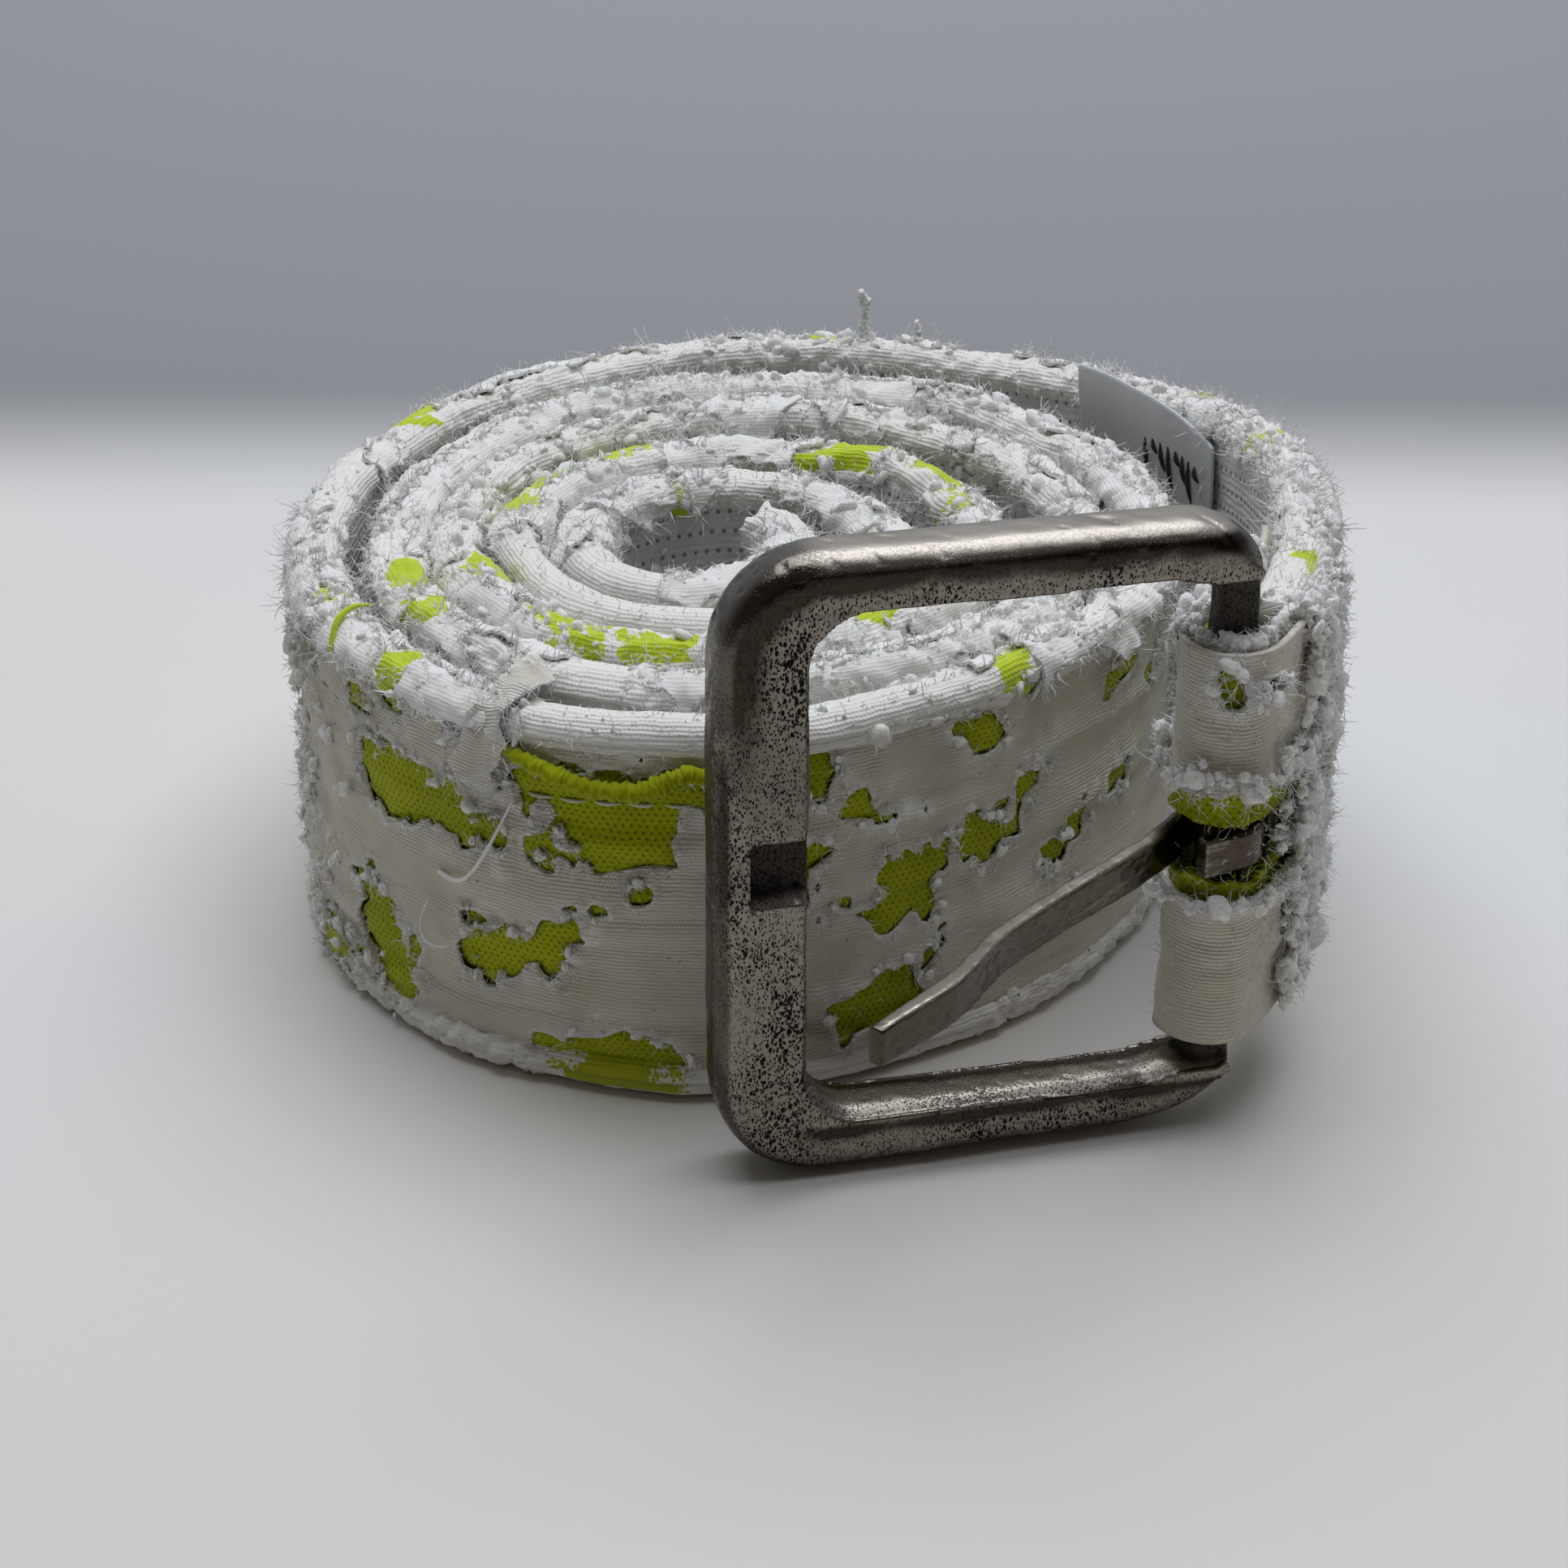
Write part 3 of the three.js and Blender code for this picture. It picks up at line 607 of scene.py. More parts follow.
# ---- where the white jersey is torn: turn, height, half length, half height, tilt in degrees ----
TEARS = [
    (0.696, 27.3, 8.6, 2.9, -3), (0.704, 24.2, 4.6, 2.6, 8), (0.627, 23.4, 5.6, 3.1, -3),
    (0.651, 23.0, 3.2, 2.4, -35), (0.661, 22.3, 1.7, 2.2, 20), (0.677, 23.6, 1.5, 2.3, 10),
    (0.618, 7.6, 3.1, 5.6, 22), (0.584, 3.6, 3.2, 2.6, 0), (0.664, 11.8, 2.9, 2.3, -6),
    (0.681, 15.0, 1.3, 1.9, -20), (0.704, 19.0, 0.9, 0.8, 0), (0.694, 17.2, 2.2, 0.9, 18),
    (0.698, 3.2, 5.6, 3.2, 3), (0.755, 30.2, 1.6, 1.9, 10), (0.752, 21.6, 1.2, 2.8, 0),
    (0.770, 25.8, 0.8, 0.6, 0), (0.786, 24.7, 0.7, 0.6, 0), (0.787, 17.4, 3.1, 2.9, 28),
    (0.777, 15.8, 2.2, 1.3, -10), (0.818, 19.5, 2.4, 1.9, 15), (0.816, 29.3, 2.3, 2.9, 25),
    (0.834, 32.0, 1.5, 1.2, 20), (0.838, 23.0, 2.6, 1.0, 40), (0.826, 21.6, 1.3, 0.9, 30),
    (0.858, 15.4, 2.9, 1.1, 40), (0.776, 7.2, 3.6, 2.9, 14), (0.794, 10.4, 1.4, 1.1, 30),
    (0.900, 19.0, 2.0, 1.6, 20), (0.896, 27.5, 2.2, 1.2, 30), (0.870, 9.0, 1.4, 0.9, 0),
    (0.570, 30.4, 1.6, 2.0, 0), (0.606, 29.2, 1.2, 1.6, 0), (0.625, 31.4, 1.8, 1.3, 0),
    (-0.104, 30.0, 2.2, 3.2, 10), (-0.100, 9.0, 3.6, 2.6, 20), (0.012, 30.5, 3.0, 2.6, 10),
    (1.565, 31.2, 2.6, 2.2, 0), (1.600, 31.0, 2.4, 2.0, 0), (2.840, 30.8, 3.0, 2.2, 0),
    (2.575, 31.0, 3.2, 2.4, 0), (2.654, 31.0, 4.2, 2.2, 0), (2.706, 31.2, 3.0, 1.8, 0),
]
# Green showing on the top rolled edge: turn, distance out, half length.
GREEN_ON_TOP_ROLL = [
    (3.342, 1.6, 4.2), (3.405, 1.6, 3.6), (3.461, 1.4, 2.6), (1.565, -0.2, 2.6), (1.600, 0.2, 2.0),
    (2.574, -1.4, 3.2), (2.660, 0.4, 4.4), (2.706, 1.8, 3.0), (3.172, -1.4, 4.6), (3.150, 1.8, 2.0),
    (3.095, 1.6, 3.0), (0.245, 1.6, 2.6), (0.412, 0.6, 2.2), (0.077, 1.8, 1.6), (0.014, -1.4, 2.4),
    (-0.104, 1.8, 1.8), (0.570, -0.6, 1.6), (0.625, 0.8, 1.6), (4.299, -1.4, 0.8), (2.837, -0.6, 2.4),
    (0.834, 1.8, 1.4), (3.05, -1.2, 2.2),
]
GREEN_ON_BOTTOM_ROLL = [(0.698, 1.5, 4.6), (0.584, 1.5, 3.0)]
# White scraps left standing inside tears: turn, height, half length, half height.
ISLANDS = [
    (0.678, 25.6, 1.1, 1.3), (0.669, 24.2, 0.9, 3.2), (0.657, 26.6, 1.6, 2.6), (0.7205, 23.4, 1.3, 3.4),
]


def random_tears():
    """The side away from the photo's view is torn in the same way, at places of its own."""
    made = []
    for turn in np.linspace(0.05, 0.54, 17):
        for _ in range(2):
            made.append((
                turn + rng.uniform(-0.012, 0.012), rng.uniform(3, 31), rng.uniform(0.9, 4.4),
                rng.uniform(0.8, 3.0), rng.uniform(-40, 40),
            ))
    for turn in np.linspace(0.93, 1.22, 6):
        made.append((turn, rng.uniform(4, 28), rng.uniform(1, 3), rng.uniform(1, 2.4), 20))
    return made


ALL_TEARS = TEARS + random_tears()


def tear_depth(arc, height):
    """Millimetres from the nearest tear's edge, positive inside a tear."""
    deepest = np.full(np.broadcast(arc, height).shape, -9.0)
    for turn, middle, half_length, half_height, tilt in ALL_TEARS:
        dx, dy = arc - arc_of(turn), height - middle
        c, s = math.cos(math.radians(tilt)), math.sin(math.radians(tilt))
        u, v = (dx * c + dy * s) / half_length, (dy * c - dx * s) / half_height
        r = (np.abs(u) ** 2.3 + np.abs(v) ** 2.3) ** (1 / 2.3)
        deepest = np.maximum(deepest, (1 - r) * min(half_length, half_height))
    spikes = 2.3 * np.abs(noise(arc / 1.9, height / 1.6, 21)) - 0.7
    ragged = 0.75 * fractal(arc / 2.8, height / 2.4, 20) + spikes + 0.25 * noise(arc / 0.8, height / 0.8, 25)
    depth = np.maximum(deepest, -9) + ragged * smooth((deepest + 5) / 3)
    for turn, middle, half_length, half_height in ISLANDS:
        r = np.sqrt(((arc - arc_of(turn)) / half_length) ** 2 + ((height - middle) / half_height) ** 2)
        island = (r - 1) * half_length + 0.35 * noise(arc / 0.9, height / 0.9, 27)
        depth = np.where(r < 1.6, np.minimum(depth, island), depth)
    return depth


# Ledges along the jersey: height, and how far each stands out.
SEAMS = ((17.2, 0.4), (7.0, 0.5), (27.4, 0.2))


def undulation(arc, height):
    """Ridges, bands and ledges that the white and the green jersey share."""
    ridges = np.maximum(0.28 * fractal(arc / 14, height / 2.1, 30), -0.2)
    band = 0.3 * smooth((np.sin(height / 1.7 + 2.2 * noise(arc / 20, height / 9, 33)) - 0.55) / 0.45)
    ledges = 0
    for seam, rise in SEAMS:
        above = height - seam - 0.5 * noise(arc / 9, 0.5 * seam, 38) - 0.2 * noise(arc / 2, 0.5 * seam, 39)
        ledges = ledges + rise * smooth(above / 0.35) * np.exp(-np.maximum(above, 0) / 4)
    return ridges + band + ledges


def cover_relief(arc, height, tear):
    """How far the white jersey stands proud of its flat place."""
    curl = np.exp(np.clip(tear, -9, 0) / 0.6) * (0.22 + 0.4 * noise(arc / 1.3, height / 1.3, 36))
    return undulation(arc, height) + curl


def make_cover():
    columns = strip_columns(0.55, 1.3)
    rows = np.arange(1.6, BELT_WIDTH - 1.4, 0.55)
    grid = np.meshgrid(columns, rows, indexing="ij")
    points, faces, torn = torn_triangles(columns, rows, tear_depth(*grid))
    arc, height, tear = points.T
    out = COVER_OUT + cover_relief(arc, height, tear)
    outer, inner = on_strip(arc, height, out), on_strip(arc, height, out - 0.4)
    piece = cloth("white_jersey_cover", outer, inner, faces, arc, height,
                  white_jersey, ["outer_cover"], tear)
    return piece, points[torn]


def whole_triangles(columns, rows):
    """The grid's triangles without any tear: points as column and row, and the triangles."""
    untorn = np.full((len(columns), len(rows)), -9.0)
    points, faces, _ = torn_triangles(columns, rows, untorn)
    return points[:, 0], points[:, 1], faces


def plain_layer(name, out, thickness, material, node, step, rows_step, relief=None):
    columns = strip_columns(step, 2 * step)
    rows = np.arange(1.6, BELT_WIDTH - 1.3, rows_step)
    arc, height, faces = whole_triangles(columns, rows)
    bulge = relief(arc, height) if relief else 0 * arc
    outer, inner = on_strip(arc, height, out + bulge), on_strip(arc, height, out - thickness + bulge)
    return cloth(name, outer, inner, faces, arc, height, material, [node])


def green_relief(arc, height):
    depth = tear_depth(arc, height)
    fold = np.exp(-(((height - 3.4 - 0.6 * noise(arc / 4, 0.5, 42)) / 0.5) ** 2)) * smooth(depth / 1.5)
    inside = smooth((depth + 0.4) / 0.8)
    crumple = 0.1 * fractal(arc / 3, height / 1.6, 40) * inside
    return inside * (0.5 + undulation(arc, height)) + crumple - 0.45 * fold


def lining_relief(arc, height):
    return -0.15 * fractal(arc / 10, height / 3, 45)


ROLL_SIDES = 36
# Stretches of the top edge where the roll is smooth: first and last turn.
SMOOTH_ROLL = [(0.672, 0.76), (1.668, 1.70), (3.52, 3.80), (4.55, 4.70)]


def fluff_share(arc):
    """1 where the rolled edge has burst into fluff, 0 where it is still a smooth roll."""
    turn = turn_of(arc)
    share = smooth(0.75 + 0.9 * noise(arc / 7, 0.5, 62) + 0.3 * smooth((turn - 0.9) / 0.2))
    for first, last in SMOOTH_ROLL:
        share = share * (1 - smooth((turn - first) / 0.006) * smooth((last - turn) / 0.006))
    return share


def green_share(arc, out, greens):
    green = 0 * arc
    for turn, o, half in greens:
        r = np.sqrt(((arc - arc_of(turn)) / half) ** 2 + ((out - o) / 2.1) ** 2)
        green = np.maximum(green, smooth(1.5 - r + 0.35 * noise(arc / 1.1, out / 1.4, 56)))
    return green


def cotton(x, y, seed):
    """Rounded lumps with sharp creases between them."""
    lumps = 0.5 * np.abs(noise(x, y, seed)) + 0.3 * np.abs(noise(2.3 * x, 2.1 * y, seed + 1))
    return lumps + 0.2 * np.abs(noise(4.9 * x, 4.7 * y, seed + 2)) - 0.25


def rolled_edge(name, middle, node, greens, material):
    """The strip's soft rolled edge: a lumpy oval section carried along the strip."""
    columns = strip_columns(0.42, 0.42)
    angle = np.linspace(0, TAU, ROLL_SIDES, endpoint=False)
    arc, theta = np.meshgrid(columns, angle, indexing="ij")
    inner = smooth((turn_of(arc) - 0.9) / 0.1)
    fluff = fluff_share(arc)
    lump = 1 + (0.05 + 0.12 * inner * fluff) * fractal(arc / 3.2, theta * 1.1, 50 + len(greens))
    ribs = 0.018 * np.sin(13 * theta + 1.2 * noise(arc / 9, 0.5, 59))
    ribs = ribs * (1 - fluff) + 0.02 * noise(arc / 0.9, theta * 2.4, 57)
    half_out = 2.15 + (0.2 + 0.35 * inner) * noise(arc / 9, 0.5, 61)
    out = 0.1 + half_out * (lump + ribs) * np.sign(np.cos(theta)) * np.abs(np.cos(theta)) ** 0.85
    crease = 0.3 * np.exp(-(((theta - TAU / 4 - 0.5 * noise(arc / 13, 2.5, 63)) / 0.28) ** 2))
    height = middle + (1.75 * (lump + ribs) - crease * fluff) * np.sin(theta)
    swayed = arc + 1.5 * noise(arc / 3, theta * 1.5, 58) + 0.7 * noise(arc / 1.1, theta * 3.2, 60)
    green = green_share(swayed, out, greens) * np.where(np.sin(theta) > -0.6, 1, 0)
    puff = fluff * (1 - 0.7 * green) * cotton(arc / 1.1, theta * 1.7, 64 + len(greens))
    out = out + 1.15 * puff * np.cos(theta)
    height = height + 1.15 * puff * np.sin(theta) + 0.3 * green * np.sin(theta)
    verts = on_strip(arc.ravel(), np.maximum(height.ravel(), 0.05), out.ravel())
    n = len(columns)
    index = np.arange(n * ROLL_SIDES).reshape(n, ROLL_SIDES)
    a, b = index[:-1], index[1:]
    quads = np.stack([a, b, np.roll(b, -1, 1), np.roll(a, -1, 1)], -1).reshape(-1, 4)
    caps = []
    for ring, row in ((index[0], 0), (index[-1], -1)):
        verts = np.concatenate([verts, verts[ring].mean(0)[None]])
        green = np.append(green, 0.0)
        centre = np.full(ROLL_SIDES, len(verts) - 1)
        pair = (ring, np.roll(ring, -1)) if row == 0 else (np.roll(ring, -1), ring)
        caps.append(np.stack([pair[0], pair[1], centre], -1))
    around = theta * 1.9
    uv = np.stack([arc.ravel(), around.ravel()], -1) * UV_SCALE
    uv = np.concatenate([uv, [uv[0], uv[-1]]])
    piece = make(name, verts, [quads] + caps, uv, {"green": green})
    finish_piece(piece, material, nodes=[node])


# ---- fibres and tufts ----
def varied(shape, scale, count, least, most):
    """Random sizes in millimetres, many small and few large."""
    return rng.gamma(shape, scale, count).clip(least, most)


def thin(count):
    return rng.uniform(0.07, 0.14, count)


def fibres(name, roots, directions, lengths, thickness, curl=0.5, steps=5, material=white_fibre):
    """Many thin curling fibres as one mesh of three-sided tapering tubes."""
    n = len(roots)
    heading = unit(directions)
    bend = rng.normal(0, curl, (n, 3))
    point = roots.copy()
    rings, corners = [], corner_angles(3)
    thickness = np.broadcast_to(thickness, (n,))
    for k in range(steps + 1):
        side = unit(np.cross(heading, np.array([0.31, 0.52, 0.79])))
        other = np.cross(heading, side)
        r = (thickness / 2 * (1 - 0.65 * k / steps))[:, None, None]
        rings.append(ring(point, side, other, r, corners))
        heading = unit(heading + bend * 0.55 + rng.normal(0, 0.35 * curl, (n, 3)))
        point = point + heading * (lengths / steps)[:, None]
        point[:, 2] = np.maximum(point[:, 2], 0.15)
    verts = np.stack(rings, 1).reshape(-1, 3)
    finish_piece(make(name, verts, tube_faces(3, steps + 1, n)), material)


WHISKERS = 6


def tufts(name, centres, sizes, axes):
    """Small felted clumps: icospheres pressed flat, squeezed and roughened one by one."""
    bm = bmesh.new()
    bmesh.ops.create_icosphere(bm, subdivisions=2, radius=1.0)
    ball = np.array([v.co for v in bm.verts])
    triangles = np.array([[v.index for v in f.verts] for f in bm.faces])
    bm.free()
    n, m = len(centres), len(ball)
    rough = 1 + 0.25 * rng.normal(0, 1, (n, m, 1)).clip(-1.5, 1.5) * rng.uniform(0.5, 1, (n, 1, 1))
    squash = rng.uniform(0.35, 1.3, (n, 1, 3))
    local = ball[None] * rough * squash * sizes[:, None, None]
    turned, _ = np.linalg.qr(rng.normal(0, 1, (n, 3, 3)))
    turned = turned * np.sign(np.linalg.det(turned))[:, None, None]
    spun = local @ turned
    tangent, up, out = axes
    verts = (
        centres[:, None] + spun[..., 0:1] * tangent[:, None]
        + spun[..., 1:2] * up[:, None] + 0.75 * spun[..., 2:3] * out[:, None]
    )
    verts[..., 2] = np.maximum(verts[..., 2], 0.1)
    faces = triangles[None] + (np.arange(n) * m)[:, None, None]
    piece = make(name, verts.reshape(-1, 3), faces.reshape(-1, 3))
    each = np.repeat(np.arange(n), WHISKERS)
    heading = unit(rng.normal(0, 1, (len(each), 3)))
    roots = centres[each] + heading * (0.3 * sizes[each])[:, None]
    lengths = sizes[each] * rng.uniform(0.9, 1.9, len(each)) + 0.15
    fibres(f"{name}_whiskers", roots, heading, lengths, thin(len(each)), curl=0.8, steps=2)
    finish_piece(piece, white_fibre)


def fringe(torn_edges, per_millimetre):
    """Roots and axes of fibres along the tears' edges."""
    a, b = torn_edges[:, 0], torn_edges[:, 1]
    length = np.linalg.norm(a[:, :2] - b[:, :2], axis=1)
    wanted = rng.poisson(length * per_millimetre)
    pick = np.repeat(np.arange(len(a)), wanted)
    share = rng.random(len(pick))[:, None]
    place = a[pick] * (1 - share) + b[pick] * share
    step = b[pick, :2] - a[pick, :2]
    inward = np.stack([step[:, 1], -step[:, 0]], -1)
    inward /= np.linalg.norm(inward, axis=1, keepdims=True) + 1e-9
    return place[:, 0], place[:, 1], inward


def directed(axes, along, up, out):
    tangent, vertical, outwards = axes
    return tangent * along[:, None] + vertical * up[:, None] + outwards * out[:, None]


def fluffiness(turn):
    """How shaggy the belt is: most where it passes the left side and beside the buckle."""
    left = smooth(1 - np.abs(turn - 0.55) / 0.09)
    right = smooth((0.16 - turn) / 0.08)
    return 0.35 + 0.9 * left + 1.1 * right


cover, torn_edges = make_cover()
under = plain_layer("green_jersey_underlayer", GREEN_OUT, 0.35, green_jersey,
                    "green_underlayer", 0.72, 0.66, green_relief)
core = plain_layer("belt_core_strip", CORE_OUT, 1.1, core_cloth, "belt_core", 1.6, 3.0)
lining = plain_layer("lining_tape", LINING_OUT, 0.5, lining_knit, "lining", 1.0, 1.0,
                     lining_relief)
rolled_edge("top_rolled_edge", BELT_WIDTH - ROLL_INSET, "top_edge_roll", GREEN_ON_TOP_ROLL, roll_jersey)
rolled_edge("bottom_rolled_edge", ROLL_INSET, "bottom_edge_roll", GREEN_ON_BOTTOM_ROLL, shaded_roll_jersey)


# Stretches of the top edge for its fringe: first and last turn, fibres per millimetre.
RIM_STRETCHES = ((STRIP_TURNS[0], 0.75, 26), (0.75, 2.0, 26), (2.0, 3.4, 30), (3.4, 5.1, 34))
FLUFF_END = 5.1


def along_strip(first, last, count):
    """Random places along the strip between two turns."""
    return arc_of(first) + rng.random(count) * (arc_of(last) - arc_of(first))


def on_top_roll(arc, theta, half_out, half_height):
    height = BELT_WIDTH - ROLL_INSET + half_height * np.sin(theta)
    return on_strip(arc, height, 0.1 + half_out * np.cos(theta))


def shared_tufts(name, pieces, centres, sizes, axes):
    """One field of tufts, shared out among a few pieces."""
    for k in range(pieces):
        own = slice(k, None, pieces)
        tufts(f"{name}_{k + 1}", centres[own], sizes[own], [axis[own] for axis in axes])


def make_fringes():
    arc, height, inward = fringe(torn_edges, 8)
    axes = strip_axes(arc)
    n = len(arc)
    back = rng.uniform(-0.2, 1.0, n)
    out = COVER_OUT + rng.uniform(0, 0.5, n)
    roots = on_strip(arc - back * inward[:, 0], height - back * inward[:, 1], out)
    way = rng.normal(0, 0.7, (n, 2)) + inward * rng.uniform(-0.9, 0.5, (n, 1))
    heading = directed(axes, way[:, 0], way[:, 1], rng.uniform(0.0, 0.5, n))
    lengths = varied(2.2, 0.3, n, 0.3, 2.4) * (0.7 + 0.5 * fluffiness(turn_of(arc)))
    third = n // 3 + 1
    for k in range(3):
        part = slice(k * third, (k + 1) * third)
        fibres(f"tear_fringe_{k + 1}", roots[part], heading[part], lengths[part],
               thin(len(roots[part])), steps=4)
    arc, height, inward = fringe(torn_edges, 1.8)
    clustered = 0.5 + noise(arc / 3, height / 3, 68)
    shaggy = rng.random(len(arc)) < 0.25 + 0.6 * fluffiness(turn_of(arc)) * clustered
    arc, height, inward = arc[shaggy], height[shaggy], inward[shaggy]
    n = len(arc)
    out = 2.0 + rng.uniform(0, 0.4, n)
    centres = on_strip(arc - 0.35 * inward[:, 0], height - 0.35 * inward[:, 1], out)
    tufts("tear_tufts", centres, varied(5, 0.06, n, 0.15, 0.6), strip_axes(arc))


def make_rim_fluff():
    """Fibres and clumps along the top edge of every turn."""
    for k, (low, high, per_millimetre) in enumerate(RIM_STRETCHES):
        arc = along_strip(low, high, int((arc_of(high) - arc_of(low)) * per_millimetre))
        shaggy = 0.7 * fluffiness(turn_of(arc)) * (0.6 + 0.9 * noise(arc / 5, 0.5, 70))
        arc = arc[rng.random(len(arc)) < 0.45 + shaggy]
        n = len(arc)
        theta = rng.uniform(-0.5, math.pi + 0.5, n)
        roots = on_top_roll(arc, theta, 2.2, 1.7)
        along, up, out = rng.normal(0, 0.9, n), rng.normal(0, 0.35, n), rng.normal(0, 0.35, n)
        heading = directed(strip_axes(arc), along, 0.6 * np.sin(theta) + up, 0.8 * np.cos(theta) + out)
        lengths = varied(2.0, 0.3, n, 0.3, 2.6) * (0.7 + 0.35 * fluffiness(turn_of(arc)))
        fibres(f"rim_fringe_{k + 1}", roots, heading, lengths, rng.uniform(0.07, 0.15, n), 0.7, 4)
    arc = along_strip(STRIP_TURNS[0], FLUFF_END, 15000)
    clustered = 0.15 + 1.5 * noise(arc / 2.2, 0.5, 72) + 0.35 * fluffiness(turn_of(arc))
    arc = arc[rng.random(len(arc)) < clustered * fluff_share(arc)]
    theta = rng.uniform(-0.6, math.pi + 0.6, len(arc))
    centres = on_top_roll(arc, theta, 2.25, 1.75)
    shared_tufts("rim_tufts", 3, centres, varied(4, 0.105, len(arc), 0.12, 0.95), strip_axes(arc))


def make_gap_fluff():
    """Clumps and long fibres in the gaps between the inner turns."""
    arc = along_strip(0.95, FLUFF_END, 7000)
    arc = arc[rng.random(len(arc)) < 0.5 + 0.9 * noise(arc / 7, 0.5, 74)]
    n = len(arc)
    height = BELT_WIDTH - 2.5 - varied(1.6, 2.0, n, 0, 12)
    out = np.where(rng.random(n) < 0.7, 2.3, -2.2) + rng.uniform(-0.1, 0.7, n)
    centres = on_strip(arc, height, out)
    shared_tufts("gap_tufts", 2, centres, varied(4, 0.12, n, 0.15, 1.0), strip_axes(arc))
    n = 9000
    arc = along_strip(0.95, FLUFF_END, n)
    height = BELT_WIDTH - 1.5 - varied(1.6, 2.0, n, 0, 12)
    side = np.where(rng.random(n) < 0.65, 1.0, -1.0)
    roots = on_strip(arc, height, 2.1 * side)
    along, up, out = rng.normal(0, 0.8, n), rng.normal(0.2, 0.5, n), rng.uniform(0.3, 1.0, n)
    heading = directed(strip_axes(arc), along, up, side * out)
    lengths = varied(2.2, 0.6, n, 0.4, 4.5)
    fibres("gap_fringe", roots, heading, lengths, rng.uniform(0.05, 0.11, n), 0.6, 3)


def make_surface_fuzz():
    arc = along_strip(STRIP_TURNS[0], 1.02, 26000)
    shaggy = 0.3 * fluffiness(turn_of(arc)) * (0.5 + noise(arc / 3, 0.5, 76))
    arc = arc[rng.random(len(arc)) < shaggy]
    n = len(arc)
    height = rng.uniform(1, BELT_WIDTH - 1, n)
    roots = on_strip(arc, height, 2.1 + 0 * arc)
    along, up, out = rng.normal(0, 0.9, n), rng.normal(0, 0.7, n), rng.uniform(0.15, 0.8, n)
    heading = directed(strip_axes(arc), along, up, out)
    lengths = varied(2.0, 0.25, n, 0.3, 1.8) * (0.4 + 0.5 * fluffiness(turn_of(arc)))
    fibres("surface_fuzz", roots, heading, lengths, rng.uniform(0.05, 0.10, n), 0.8, 4)
    arc = along_strip(STRIP_TURNS[0], 0.64, 5200)
    height = rng.uniform(1, BELT_WIDTH - 1, len(arc))
    clumped = 0.7 + 1.3 * noise(arc / 3.5, height / 3.5, 77)
    keep = rng.random(len(arc)) < (0.55 * fluffiness(turn_of(arc)) - 0.12) * clumped
    arc, height = arc[keep], height[keep]
    centres = on_strip(arc, height, 2.3 + rng.uniform(0, 0.5, len(arc)))
    tufts("surface_tufts", centres, varied(4, 0.09, len(arc), 0.12, 1.0), strip_axes(arc))


def hem_angle(v):
    """Angle round the rolled edge of a point v millimetres along the hem, down to its side."""
    return np.maximum(math.radians(112) - v / 2.3, -0.1)


